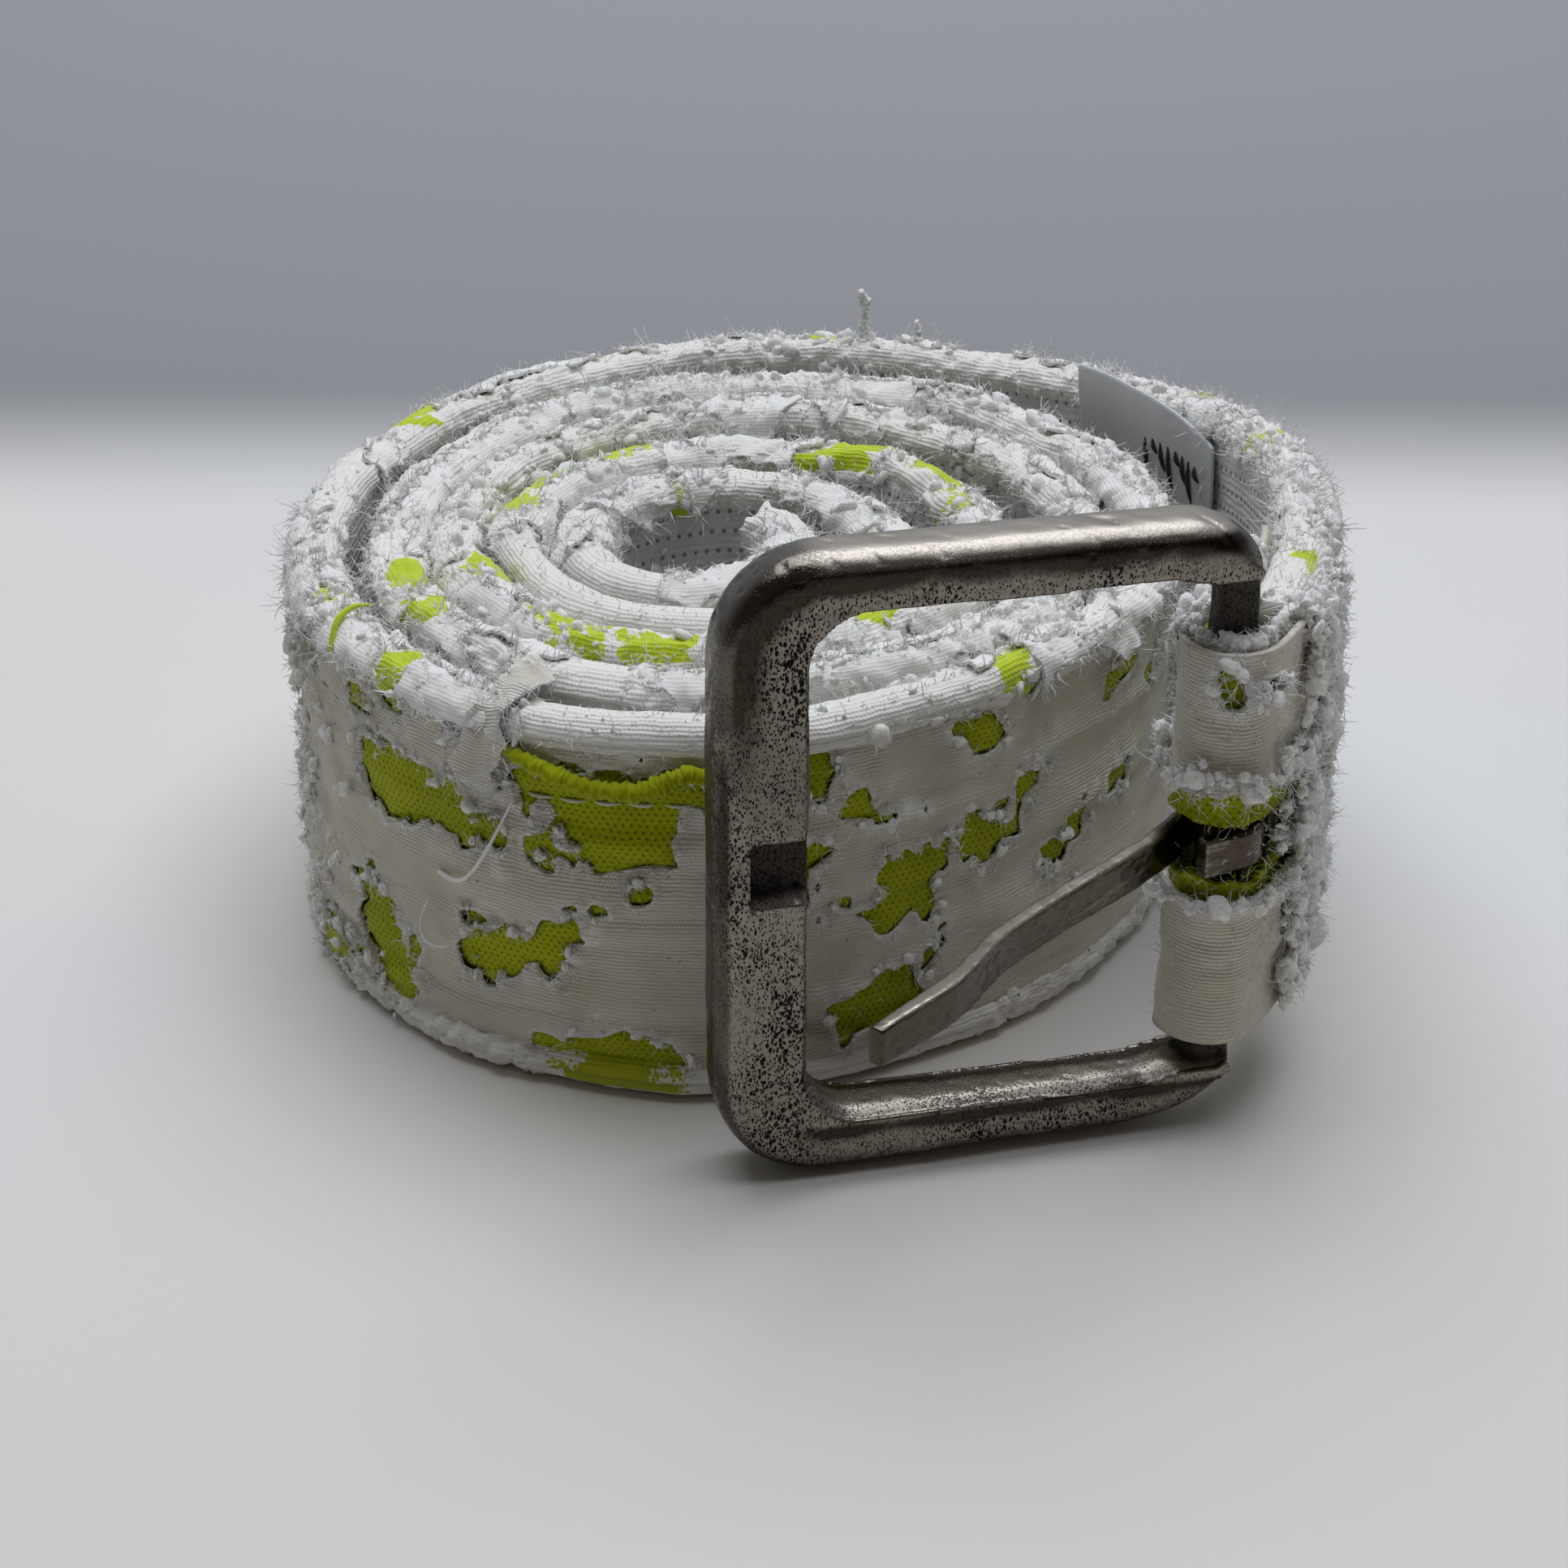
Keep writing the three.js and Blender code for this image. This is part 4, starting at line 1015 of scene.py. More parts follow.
def make_hem(name, side, seed):
    """Torn remains of jersey hanging over the top edge, on the outer side (1) or inner (-1)."""
    columns = np.arange(arc_of(STRIP_TURNS[0]), arc_of(STRIP_TURNS[1]) - 1, 0.5)
    rows = np.arange(0, 9.1, 0.5)
    q, v = np.meshgrid(columns, rows, indexing="ij")
    turn = turn_of(q)
    hanging = 2.0 * (v - 5.6 - 1.6 * noise(q / 11, 0.5, seed)) / 3 + 1.5 * fractal(q / 4, v / 5, seed + 1)
    hanging = hanging + 0.7 * noise(q / 1.2, v / 1.2, seed + 5) + 0.5 * smooth((0.75 - turn) / 0.1)
    top = 0.8 * (1.0 - v) + 0.9 * noise(q / 2.2, v / 3, seed + 6)
    gone = 3 * (0.85 - fluff_share(q)) + 2.4 * noise(q / 6, v / 9, seed + 11)
    gone = gone + 0.9 * noise(q / 1.7, v / 2, seed + 12)
    if side < 0:
        gone = gone + 4 * smooth((turn - 0.14) / 0.02) * smooth((0.44 - turn) / 0.02)
    over = 2.5 * np.cos(hem_angle(v))
    green = 3 * (green_share(q, side * over, GREEN_ON_TOP_ROLL) - 0.35)
    green = green + 0.6 * noise(q / 0.9, v / 0.9, seed + 13)
    tear = np.maximum(np.maximum(hanging, top), np.maximum(gone, green))
    points, faces, torn = torn_triangles(columns, rows, tear)
    reach = 0.25 + 0.75 * smooth((turn_of(columns) - 0.8) / 0.2)

    def place(q, v, extra):
        theta = hem_angle(v)
        lump = 1 + 0.07 * fractal(q / 2.6, v / 2, seed + 7) + 0.03 * noise(q / 0.8, v / 0.8, seed + 8)
        drop = np.maximum(v - 4.8, 0)
        flare = drop * (0.3 + 0.35 * noise(q / 3, v / 6, seed + 9)) * np.interp(q, columns, reach)
        out = (2.5 + 0.3 * noise(q / 9, 0.5, 61)) * lump * np.cos(theta) + flare + extra * np.cos(theta)
        height = BELT_WIDTH - ROLL_INSET + (1.98 * lump + extra) * np.sin(theta) - 0.85 * drop
        return on_strip(q, height, 0.1 + side * out)

    q, v, depth = points.T
    wave = 0.2 * fractal(q / 1.9, v / 1.5, seed + 10) + 0.18 * np.exp(np.clip(depth, -9, 0) / 0.7)
    wave = wave * (0.7 + 0.6 * noise(q / 1.1, v / 1.1, seed + 14)) + 0.6 * cotton(q / 1.2, v / 1.2, seed + 15)
    faces = faces if side > 0 else faces[:, ::-1]
    outer, inner = place(q, v, 0.02 + wave), place(q, v, wave - 0.3)
    cloth(name, outer, inner, faces, q, v + 10, hem_jersey, depth=depth)
    q, v, inward = fringe(points[torn], 6)
    n = len(q)
    along, up, out = rng.normal(0, 0.8, n), rng.normal(0, 0.5, n), rng.uniform(0.1, 0.9, n)
    heading = directed(strip_axes(q), along, up - 0.5 * inward[:, 1], side * out)
    lengths = varied(2.2, 0.4, n, 0.3, 3)
    fibres(f"{name}_fringe", place(q, v, 0.2), heading, lengths, rng.uniform(0.08, 0.16, n), 0.55, 3)


def softened(line, rounds):
    """The line with its corners rounded; its two ends stay."""
    for _ in range(rounds):
        line[1:-1] = (line[:-2] + 2 * line[1:-1] + line[2:]) / 4
    return line


def tube(name, places, radii, material, seed, sides=8, lumps=0.0):
    """A soft cord through places on the strip, given as turn, height and distance out."""
    path = strip_path(places)
    for _ in range(3):
        halves = (path[:-1] + path[1:]) / 2
        between = np.stack([halves[:-1], path[1:-1], halves[1:]], 1).reshape(-1, 3)
        path = softened(np.concatenate([path[:1], between, path[-1:]]), 1)
    share = np.linspace(0, 1, len(path))
    along = np.gradient(path, axis=0)
    along /= np.linalg.norm(along, axis=1, keepdims=True) + 1e-9
    side = unit(np.cross(along, np.array([0.2, 0.3, 0.93])))
    other = np.cross(along, side)
    corners = corner_angles(sides)
    r = np.interp(share, np.linspace(0, 1, len(radii)), radii)[:, None]
    r = r * (1 + lumps * noise(share[:, None] * len(path) / 2.2, corners[None] * 1.3, seed))
    verts = ring(path, side, other, r[..., None], corners).reshape(-1, 3)
    finish_piece(make(name, verts, tube_faces(sides, len(path))), material)


def strip_path(points):
    turn, height, out = np.array(points, float).T
    return on_strip(arc_of(turn), height, out)


def make_loose_ends():
    """Single threads and torn bits that hang or stand clear of the belt."""
    ridge = [(0.666, 31.2, 2.4), (0.673, 30.9, 2.9), (0.683, 30.2, 3.0), (0.691, 29.3, 3.0),
             (0.700, 28.9, 3.0), (0.709, 29.1, 3.0), (0.716, 30.3, 3.0), (0.721, 30.9, 2.8),
             (0.727, 29.6, 2.4)]
    tube("green_lip", ridge, [0.5, 0.75, 0.7, 0.85, 0.8, 0.6], green_jersey, 140, 10, 0.35)
    front = [(0.672, 27.0, 2.9), (0.668, 24.0, 3.7), (0.664, 21.5, 4.0), (0.660, 19.7, 3.7),
             (0.654, 17.8, 3.3), (0.645, 17.7, 2.6)]
    tube("loose_thread_front", front, [0.1, 0.17, 0.15, 0.2], white_fibre, 141)
    over = [(0.599, 32.6, 2.9), (0.596, 34.6, 2.2), (0.593, 35.4, 0.7), (0.591, 35.4, -0.9),
            (0.588, 34.7, -2.2)]
    tube("loose_thread_rim", over, [0.2, 0.3, 0.26, 0.12], green_fibre, 142)
    upright = [(0.228, 34.0, 0.8), (0.2285, 35.8, 1.0), (0.2275, 37.2, 1.2), (0.2285, 38.6, 0.8),
               (0.2295, 39.4, 0.4)]
    tube("upright_tuft", upright, [0.55, 0.4, 0.35, 0.6, 0.3], white_fibre, 143, 8, 0.5)
    second = [(0.209, 34.0, 0.6), (0.2085, 35.4, 0.9), (0.2095, 36.6, 0.7)]
    tube("upright_tuft_2", second, [0.6, 0.4, 0.3], white_fibre, 144, 8, 0.5)
    low = [(0.640, 14.6, 2.6), (0.637, 12.0, 3.2), (0.642, 10.4, 3.3), (0.648, 11.0, 2.7)]
    tube("loose_thread_low", low, [0.08, 0.13, 0.1], white_fibre, 145)


def make_flap():
    """A torn gauzy bit that lies from the second turn's top edge down the front."""
    path = strip_path([(1.657, 33.6, 0.2), (0.667, 35.0, -3.0), (0.666, 35.2, -0.6), (0.665, 34.3, 2.4),
                       (0.664, 31.6, 3.2), (0.661, 28.6, 3.0), (0.658, 26.4, 3.1), (0.657, 24.4, 3.0)])
    steps = path_lengths(path)
    columns, rows = np.arange(0, steps[-1], 0.4), np.arange(-3.2, 3.3, 0.4)
    s, t = np.meshgrid(columns, rows, indexing="ij")
    tear = np.abs(t) - 2.0 - 0.8 * noise(s / 2.4, np.sign(t), 150) - 0.3 * noise(s / 0.8, t, 151)
    tear = np.maximum(tear, s - steps[-1] + 2.2 + 1.6 * noise(t / 1.4, 0.5, 152))
    points, faces, torn = torn_triangles(columns, rows, tear)
    tangent = strip_axes(np.array([arc_of(0.662)]))[0][0]

    def place(s, t, lift_off):
        centre = np.stack([np.interp(s, steps, path[:, k]) for k in range(3)], -1)
        centre += tangent * t[:, None]
        away = np.array([-0.25, -0.55, 0.8])
        folds = 0.35 * np.sin(1.9 * t + 0.8 * noise(s / 3, 0.5, 153)) + 0.2 * fractal(s / 2, t / 1.5, 154)
        return centre + away * (folds + lift_off)[:, None]

    s, t, depth = points.T
    outer, inner = place(s, t, 0.2 + 0 * s), place(s, t, 0 * s)
    cloth("gauze_flap", outer, inner, faces, t, s + 10, white_jersey, depth=depth)
    s, t, _ = fringe(points[torn], 9)
    n = len(s)
    heading = rng.normal(0, 1, (n, 3)) + np.array([-0.3, -0.6, 0.0])
    lengths = varied(2.0, 0.5, n, 0.3, 3)
    fibres("gauze_fringe", place(s, t, 0.1 + 0 * s), heading, lengths, rng.uniform(0.05, 0.1, n), 0.6, 3)


make_fringes()
make_rim_fluff()
make_gap_fluff()
make_surface_fuzz()
make_hem("outer_hem", 1, 160)
make_hem("inner_hem", -1, 180)
make_loose_ends()
make_flap()

# ---- stitches ----
STITCH_RINGS, STITCH_SIDES = 5, 6
STITCH_PITCH, STITCH_LENGTH, SEAM_INSET = 2.7, 2.1, 7.3


def stitch_row(name, starts, ends, bulge, material, nodes=(), thickness=0.34):
    """One small bowed thread segment from each start to its end."""
    bulge = unit(bulge)
    other = np.cross(unit(ends - starts), bulge)
    corners = corner_angles(STITCH_SIDES)
    rings = []
    for share in np.linspace(0, 1, STITCH_RINGS):
        bow = math.sin(math.pi * share)
        centre = starts * (1 - share) + ends * share + bulge * (0.28 * bow - 0.12)
        rings.append(ring(centre, bulge, other, thickness / 2 * (0.45 + 0.55 * bow), corners))
    verts = np.stack(rings, 1).reshape(-1, 3)
    piece = make(name, verts, tube_faces(STITCH_SIDES, STITCH_RINGS, len(starts)))
    finish_piece(piece, material, nodes=nodes)


def edge_stitches(name, height, node):
    arc = np.arange(arc_of(0.02), arc_of(5.1), STITCH_PITCH)

    def on_seam(arc):
        return on_strip(arc, height + 0.25 * noise(arc / 9, 0.5, 80), 1.62 + 0 * arc)

    starts, ends = on_seam(arc), on_seam(arc + STITCH_LENGTH)
    stitch_row(name, starts, ends, strip_axes(arc)[2], sewing_thread, [node])


edge_stitches("top_edge_stitches", BELT_WIDTH - SEAM_INSET, "top_edge_stitching")
edge_stitches("bottom_edge_stitches", SEAM_INSET, "bottom_edge_stitching")

# ---- jersey loop round the heel bar ----
GAP_Z, SLIT_Z = 25.7, 26.2


def beside_strip(distance, out):
    """Place in plan, by its distance from the bar along the strip and out from its middle."""
    turn = np.array(BAR_TURN + 0.006 + distance / MILLIMETRES_PER_OUTER_TURN)
    return middle_line(turn) + outward(turn) * out


def round_bar(r, angle):
    return BAR + BAR_OUT * (r * math.cos(angle)) + BAR_ALONG * (r * math.sin(angle))


def wrap_line(r, outer, inner, step):
    """Plan line over the strip's outer face, round the bar's far side and back inside."""
    points = [beside_strip(*p) for p in outer]
    points += [round_bar(r, -math.pi * i / 16) for i in range(17)]
    points += [beside_strip(*p) for p in inner]
    points = softened(np.array(points), 2)
    length = path_lengths(points)
    even = np.arange(0, length[-1], step)
    line = np.stack([np.interp(even, length, points[:, k]) for k in range(2)], -1)
    along = unit(np.gradient(line, axis=0))
    return even, line, np.stack([-along[:, 1], along[:, 0]], -1)


def side_of(line, q):
    """The line's outward direction in plan, q millimetres along it."""
    even, _, normal = line
    return np.stack([np.interp(q, even, normal[:, k]) for k in range(2)], -1)


def on_line(line, q, height, out):
    even, plan, _ = line
    centre = np.stack([np.interp(q, even, plan[:, k]) for k in range(2)], -1)
    return np.concatenate([centre + side_of(line, q) * out[:, None], height[:, None]], -1)


def wrapped_sheet(name, line, rows, tear, relief, thickness, material, node):
    points, faces, torn = torn_triangles(line[0], rows, tear)
    q, height, depth = points.T
    out = relief(q, height, depth)
    outer, inner = on_line(line, q, height, out), on_line(line, q, height, out - thickness)
    piece = cloth(name, outer, inner, faces, q, height + 2, material, [node], depth)
    return piece, points[torn]


LOOP_TOP = LOOP_BOTTOM + BELT_WIDTH
# Holes in the loop's jersey: length along it, height, half length, half height.
LOOP_HOLES = [(20.2, 40.4, 1.2, 1.9), (17.6, 40.2, 0.8, 0.6), (10.5, 17.4, 1.5, 2.2), (3.5, 34.0, 1.6, 1.4)]
loop_line = wrap_line(
    3.85, [(14, 3.0), (12, 3.0), (10, 3.05), (8, 3.25), (6, 3.5), (4, 3.75)],
    [(4, -3.7), (6, -3.3), (8, -3.0), (10, -2.75), (13, -2.7), (16, -2.7), (19, -2.7), (22, -2.7)], 0.4)
under_line = wrap_line(3.2, [(7.6, 2.7), (5, 2.9), (3, 3.1)], [(3, -3.1), (5, -2.9), (7.6, -2.5)], 0.5)


def slit_depth(line, rows, middle, half_height, reach, seed):
    """Depth inside the prong's slit, which reaches so far from the bar on both sides."""
    even, plan, _ = line
    from_bar = np.linalg.norm(plan - BAR, axis=1)[:, None]
    q, z = np.meshgrid(even, rows, indexing="ij")
    depth = np.minimum(half_height - np.abs(z - middle), reach - from_bar + 0 * z)
    return depth + 0.45 * fractal(q / 1.8, z / 1.6, seed) + 0.25 * noise(q / 0.7, z / 0.6, seed + 4)


def loop_tears(line, rows):
    even, _, _ = line
    q, z = np.meshgrid(even, rows, indexing="ij")
    depth = slit_depth(line, rows, SLIT_Z, 4.8, 7.4, 90)
    for q0, z0, a, b in LOOP_HOLES:
        r = np.sqrt(((q - q0) / a) ** 2 + ((z - z0) / b) ** 2)
        depth = np.maximum(depth, (1 - r) * min(a, b) + 0.4 * noise(q / 0.9, z / 0.8, 95))
    return depth


def loop_relief(q, height, depth):
    rim = 0.3 * np.exp(-np.minimum(height - LOOP_BOTTOM, LOOP_TOP - height) / 0.9)
    curl = np.exp(np.clip(depth, -9, 0) / 0.9) * (0.7 + 0.5 * noise(q / 1.2, height / 1.2, 97))
    folds = 0.2 * fractal(q / 5, height / 2.4, 98)
    return 0.35 + 0.7 * rim + 0.7 * curl + folds


def underlay_relief(q, height, depth):
    return 0.2 + 0.75 * np.exp(np.clip(depth, -9, 0) / 1.1) + 0.14 * fractal(q / 2, height / 1.2, 103)


loop_rows = np.arange(LOOP_BOTTOM + 0.05, LOOP_TOP - 0.05, 0.4)
loop, loop_torn = wrapped_sheet(
    "heel_loop_jersey", loop_line, loop_rows, loop_tears(loop_line, loop_rows), loop_relief, 0.6,
    white_jersey, "buckle_loop")
under_rows = np.arange(LOOP_BOTTOM + 0.8, LOOP_TOP - 0.8, 0.4)
under_slit = slit_depth(under_line, under_rows, GAP_Z, 2.6, 6.9, 100)
under_wrap, under_torn = wrapped_sheet(
    "heel_loop_underlay", under_line, under_rows, under_slit, underlay_relief, 0.55,
    green_jersey, "loop_underlay")


def at_loop(q, height, out):
    return on_line(loop_line, q, height, out)


def loop_axes(q):
    return axes_of(side_of(loop_line, q))


def make_slit_fluff():
    """Fibres and clumps along the torn edges of the loop, most of them at the slit."""
    q, z, inward = fringe(loop_torn, 9)
    n = len(q)
    along, up, out = rng.normal(0, 0.8, n), rng.normal(0, 0.5, n), rng.uniform(0.2, 1.0, n)
    heading = directed(loop_axes(q), along + 0.4 * inward[:, 0], up + 0.4 * inward[:, 1], out)
    roots = at_loop(q, z, 0.8 + rng.uniform(0, 0.8, n))
    fibres("loop_fringe", roots, heading, varied(2.2, 0.55, n, 0.4, 3.5), thin(n), 0.6)
    q, z, inward = fringe(loop_torn, 4.5)
    keep = (np.abs(z - SLIT_Z) < 7) | (rng.random(len(q)) < 0.25)
    q, z, inward = q[keep], z[keep], inward[keep]
    n = len(q)
    up_band = np.where(inward[:, 1] < 0, rng.uniform(0, 2.6, n), rng.uniform(-0.5, 0.2, n))
    up_band = np.where(np.abs(z - SLIT_Z) < 7, up_band, 0)
    aside = rng.uniform(0, 1.2, n) * (inward[:, 0] > 0.5)
    centres = at_loop(q - aside, z + up_band, 0.9 + rng.uniform(0, 0.8, n))
    tufts("loop_tufts", centres, varied(5, 0.1, n, 0.2, 0.95), loop_axes(q))


def make_fold_fluff():
    """Clumps on the fold round the bar, and short fuzz all over the loop."""
    n = 2300
    q = rng.uniform(-3, 13, n)
    z = LOOP_BOTTOM + rng.uniform(0, BELT_WIDTH, n)
    clumped = (0.65 + 0.7 * noise(q / 2.4, z / 2.4, 99)) * smooth((12.2 + noise(z / 2, 0.5, 94) - q) / 1.4)
    keep = rng.random(n) < clumped * smooth((q + 3.5 + 2 * noise(z / 3, 0.5, 93)) / 7)
    keep = keep & ((z < LOOP_TOP - 0.3) | (q < 10.5))
    q, z = q[keep], z[keep]
    centres = at_loop(q, z, 0.9 + rng.uniform(0, 0.9, len(q)))
    tufts("fold_tufts", centres, varied(4, 0.13, len(q), 0.2, 1.1), loop_axes(q))
    n = 1500
    q, z = rng.uniform(0, 46, n), rng.uniform(LOOP_BOTTOM, LOOP_TOP, n)
    along, up, out = rng.normal(0, 0.9, n), rng.normal(0, 0.6, n), rng.uniform(0.2, 0.8, n)
    heading, lengths = directed(loop_axes(q), along, up, out), varied(2.0, 0.45, n, 0.3, 3.0)
    fibres("loop_fuzz", at_loop(q, z, 0.4 + 0 * q), heading, lengths, rng.uniform(0.06, 0.12, n), 0.6)


def loop_tufts(name, q, z, out, shape, scale, most):
    """Clumps at lengths q along the loop, heights z and random distances out between two limits."""
    centres = at_loop(q, z, rng.uniform(*out, len(q)))
    tufts(name, centres, varied(shape, scale, len(q), 0.2, most), loop_axes(q))


def make_loop_rim_fluff():
    """Clumps at the slit's ends, in the loop's mouth and along the rim beside it."""
    n = 46
    q, z = rng.uniform(9.5, 14.5, n), GAP_Z + rng.uniform(-2.2, 2.4, n)
    loop_tufts("gap_end_tufts", q, z, (0.3, 0.8), 5, 0.08, 0.6)
    n = 420
    q, z = rng.uniform(8, 26, n), LOOP_TOP + rng.uniform(-2.2, 0.5, n)
    loop_tufts("loop_mouth_tufts", q, z, (-1.3, -0.7), 5, 0.085, 0.75)
    n = 700
    q = np.where(rng.random(n) < 0.45, rng.uniform(-1, 11, n), rng.uniform(26, 44, n))
    z = LOOP_TOP + rng.uniform(-1.6, 0.5, n)
    loop_tufts("fold_rim_tufts", q, z, (-0.4, 1.1), 4, 0.12, 1.0)


def make_underlay_fringe():
    q, z, inward = fringe(under_torn, 3)
    n = len(q)
    along, up, out = rng.normal(0, 0.9, n), rng.normal(0, 0.4, n), rng.uniform(0.2, 0.9, n)
    heading = directed(loop_axes(q + 6.5), along, 0.5 * inward[:, 1] + up, out)
    lengths, thickness = varied(2.2, 0.5, n, 0.3, 3.4), rng.uniform(0.07, 0.13, n)
    roots = on_line(under_line, q, z, 0 * q)
    fibres("underlay_fringe", roots, heading, lengths, thickness, material=green_fibre)


make_slit_fluff()
make_fold_fluff()
make_loop_rim_fluff()
make_underlay_fringe()


def fold_stitches(name, out, node):
    heights = np.arange(LOOP_BOTTOM + 2, LOOP_TOP - 3.5, 2.9)
    turn = np.full(len(heights), BAR_TURN + 11.5 / MILLIMETRES_PER_OUTER_TURN)
    plan, side = middle_line(turn), outward(turn)
    starts = np.concatenate([plan + side * out, heights[:, None]], -1)
    ends = starts + np.array([0, 0, 2.2])
    bulge = np.concatenate([side * np.sign(out), np.zeros((len(heights), 1))], -1)
    stitch_row(name, starts, ends, bulge, sewing_thread, [node])


fold_stitches("fold_stitches_outer", 3.7, "fold_stitching_outer")
fold_stitches("fold_stitches_inner", -3.5, "fold_stitching_inner")

# ---- label on the inner face ----
LABEL_TURNS = (0.048, 0.131)
LABEL_BOTTOM, LABEL_HEIGHT = 11, 25.4
# The top edge falls by this much towards the buckle.
LABEL_FALL = 5.0
LABEL_SEAM_INSET = 1.6
MARK_TOPS, MARKS_PER_LINE, MARK_PITCH = (32.0, 25.0), 8, 1.25
LABEL_START, LABEL_END = arc_of(LABEL_TURNS[0]), arc_of(LABEL_TURNS[1])


def sloped(arc, height):
    """Height on the label after its fall towards the buckle, which is least at the bottom."""
    share = (LABEL_END - arc) / (LABEL_END - LABEL_START)
    return height - LABEL_FALL * share ** 1.3 * (height - LABEL_BOTTOM) / LABEL_HEIGHT


def label_lift(arc, height):
    """0 where the label lies flat, 1 at its free upper corner."""
    return smooth((height - 28) / 8) * smooth((arc - LABEL_START) / (LABEL_END - LABEL_START))


def make_label():
    columns = np.linspace(LABEL_START, LABEL_END, 70)
    rows = np.linspace(LABEL_BOTTOM, LABEL_BOTTOM + LABEL_HEIGHT, 60)
    arc, height, faces = whole_triangles(columns, rows)
    height = sloped(arc, height)
    out = -2.55 - 0.9 * label_lift(arc, height) + 0.12 * noise(arc / 6, height / 8, 110)
    outer, inner = on_strip(arc, height, out), on_strip(arc, height, out - 0.25)
    piece = cloth("satin_label", outer, inner, faces, arc, height, satin, ["label"])


def make_label_stitches(side, place):
    heights = np.arange(12.2, 33.5, 2.4)
    arc = np.full(len(heights), place)
    starts = on_strip(arc, sloped(arc, heights), -3.0 + 0 * arc)
    ends = on_strip(arc, sloped(arc, heights + 1.8), -3.0 + 0 * arc)
    stitch_row(f"label_stitches_{side}", starts, ends, -strip_axes(arc)[2], sewing_thread,
               [f"label_stitching_{side}"], thickness=0.28)


def make_label_marks():
    """Lines of slanted strokes that say nothing, where the real label has its print."""
    starts, ends = [], []
    for line, top in enumerate(MARK_TOPS):
        for k in range(MARKS_PER_LINE):
            arc = LABEL_START + 2.8 + MARK_PITCH * k
            tall = 1.6 + 1.5 * ((k * 5 + line) % 3)
            starts.append((arc, sloped(arc, top - tall)))
            ends.append((arc + 0.9, sloped(arc + 0.9, top)))
    starts, ends = np.array(starts).T, np.array(ends).T
    depth = -2.83 - 0.9 * label_lift(*starts)
    first, last = on_strip(*starts, depth), on_strip(*ends, depth - 0.12)
    bulge = -strip_axes(starts[0])[2]
    stitch_row("label_marks", first, last, bulge, print_ink, thickness=0.5)


make_label()
make_label_stitches("right", LABEL_START + LABEL_SEAM_INSET)
make_label_stitches("left", LABEL_END - LABEL_SEAM_INSET)
make_label_marks()

# ---- buckle ----
FRAME_YAW, FRAME_MIDDLE_Z, FRAME_HALF_HEIGHT = 0.25, 27.0, 26.7
ARM_TAPER, OPENING_HALF_HEIGHT = 0.2, 21.4
FRAME_LENGTH, END_OVERHANG, FRAME_DEPTH, OUTER_BAR_WIDTH = 41.4, 1.6, 6.0, 7.5
OUTER_CORNER, INNER_CORNER = 8.5, 4.2
UPPER_ARM_END, LOWER_ARM_END = (7.0, 4.6), (10.5, 5.2)
SHOULDER_HALF_HEIGHT, SHOULDER_LENGTH, ARM_ROOT_LENGTH, ARM_ROOT_THINNING = 20.9, 2.6, 6.0, 0.3
BEVEL_WIDTH, BEVEL_DEPTH = 1.9, 2.1
HEEL_BAR_HALF, HEEL_BAR_BEVEL = 1.7, 0.85
NOTCH_HEIGHT, NOTCH_DEPTH, NOTCH_Z = 5.3, 2.1, 28.0
NOTCH_U = (FRAME_LENGTH - OUTER_BAR_WIDTH - 1, FRAME_LENGTH - OUTER_BAR_WIDTH + 4.9)


def bar_matrix(yaw, middle_z):
    u = Vector((-math.cos(yaw), -math.sin(yaw), 0))
    v = Vector((0, 0, -1))
    w = u.cross(v)
    turned = Matrix((u, v, w)).transposed().to_4x4()
    turned.translation = Vector((BAR[0], BAR[1], middle_z))
    return np.array(turned)


def place_on_bar(points, yaw, middle_z):
    m = bar_matrix(yaw, middle_z)
    return points @ m[:3, :3].T + m[:3, 3]


def back_from_bar(points, yaw, middle_z):
    """u from the bar's axis outwards, v down along the bar and w through the casting."""
    m = np.linalg.inv(bar_matrix(yaw, middle_z))
    return (points @ m[:3, :3].T + m[:3, 3]).T


def arc_points(cu, cv, r, start, end, steps):
    angles = np.radians(np.linspace(start, end, steps))
    return [(cu + r * math.cos(a), cv + r * math.sin(a)) for a in angles]


def frame_outline():
    corner_u, corner_v = FRAME_LENGTH - OUTER_CORNER, FRAME_HALF_HEIGHT - OUTER_CORNER
    inner_u = FRAME_LENGTH - OUTER_BAR_WIDTH - INNER_CORNER
    inner_v = OPENING_HALF_HEIGHT - INNER_CORNER
    root_v = OPENING_HALF_HEIGHT + ARM_ROOT_THINNING

    def arm(end_length, end_height):
        end_u, end_v = end_length - END_OVERHANG, FRAME_HALF_HEIGHT - ARM_TAPER - end_height
        end = arc_points(0, 0, 1, 180, 90, 12)
        line = [(-END_OVERHANG, SHOULDER_HALF_HEIGHT)]
        line += [(end_u + end_length * u, end_v + end_height * v) for u, v in end]
        return line + arc_points(corner_u, corner_v, OUTER_CORNER, 90, 0, 14)

    inner = arc_points(inner_u, inner_v, INNER_CORNER, 0, 90, 10)
    inner += [(ARM_ROOT_LENGTH, root_v), (SHOULDER_LENGTH, SHOULDER_HALF_HEIGHT)]
    mirrored = [(u, -v) for u, v in reversed(arm(*UPPER_ARM_END))]
    inner_mirrored = [(u, -v) for u, v in reversed(inner)]
    return np.array(arm(*LOWER_ARM_END) + mirrored + inner_mirrored + inner)


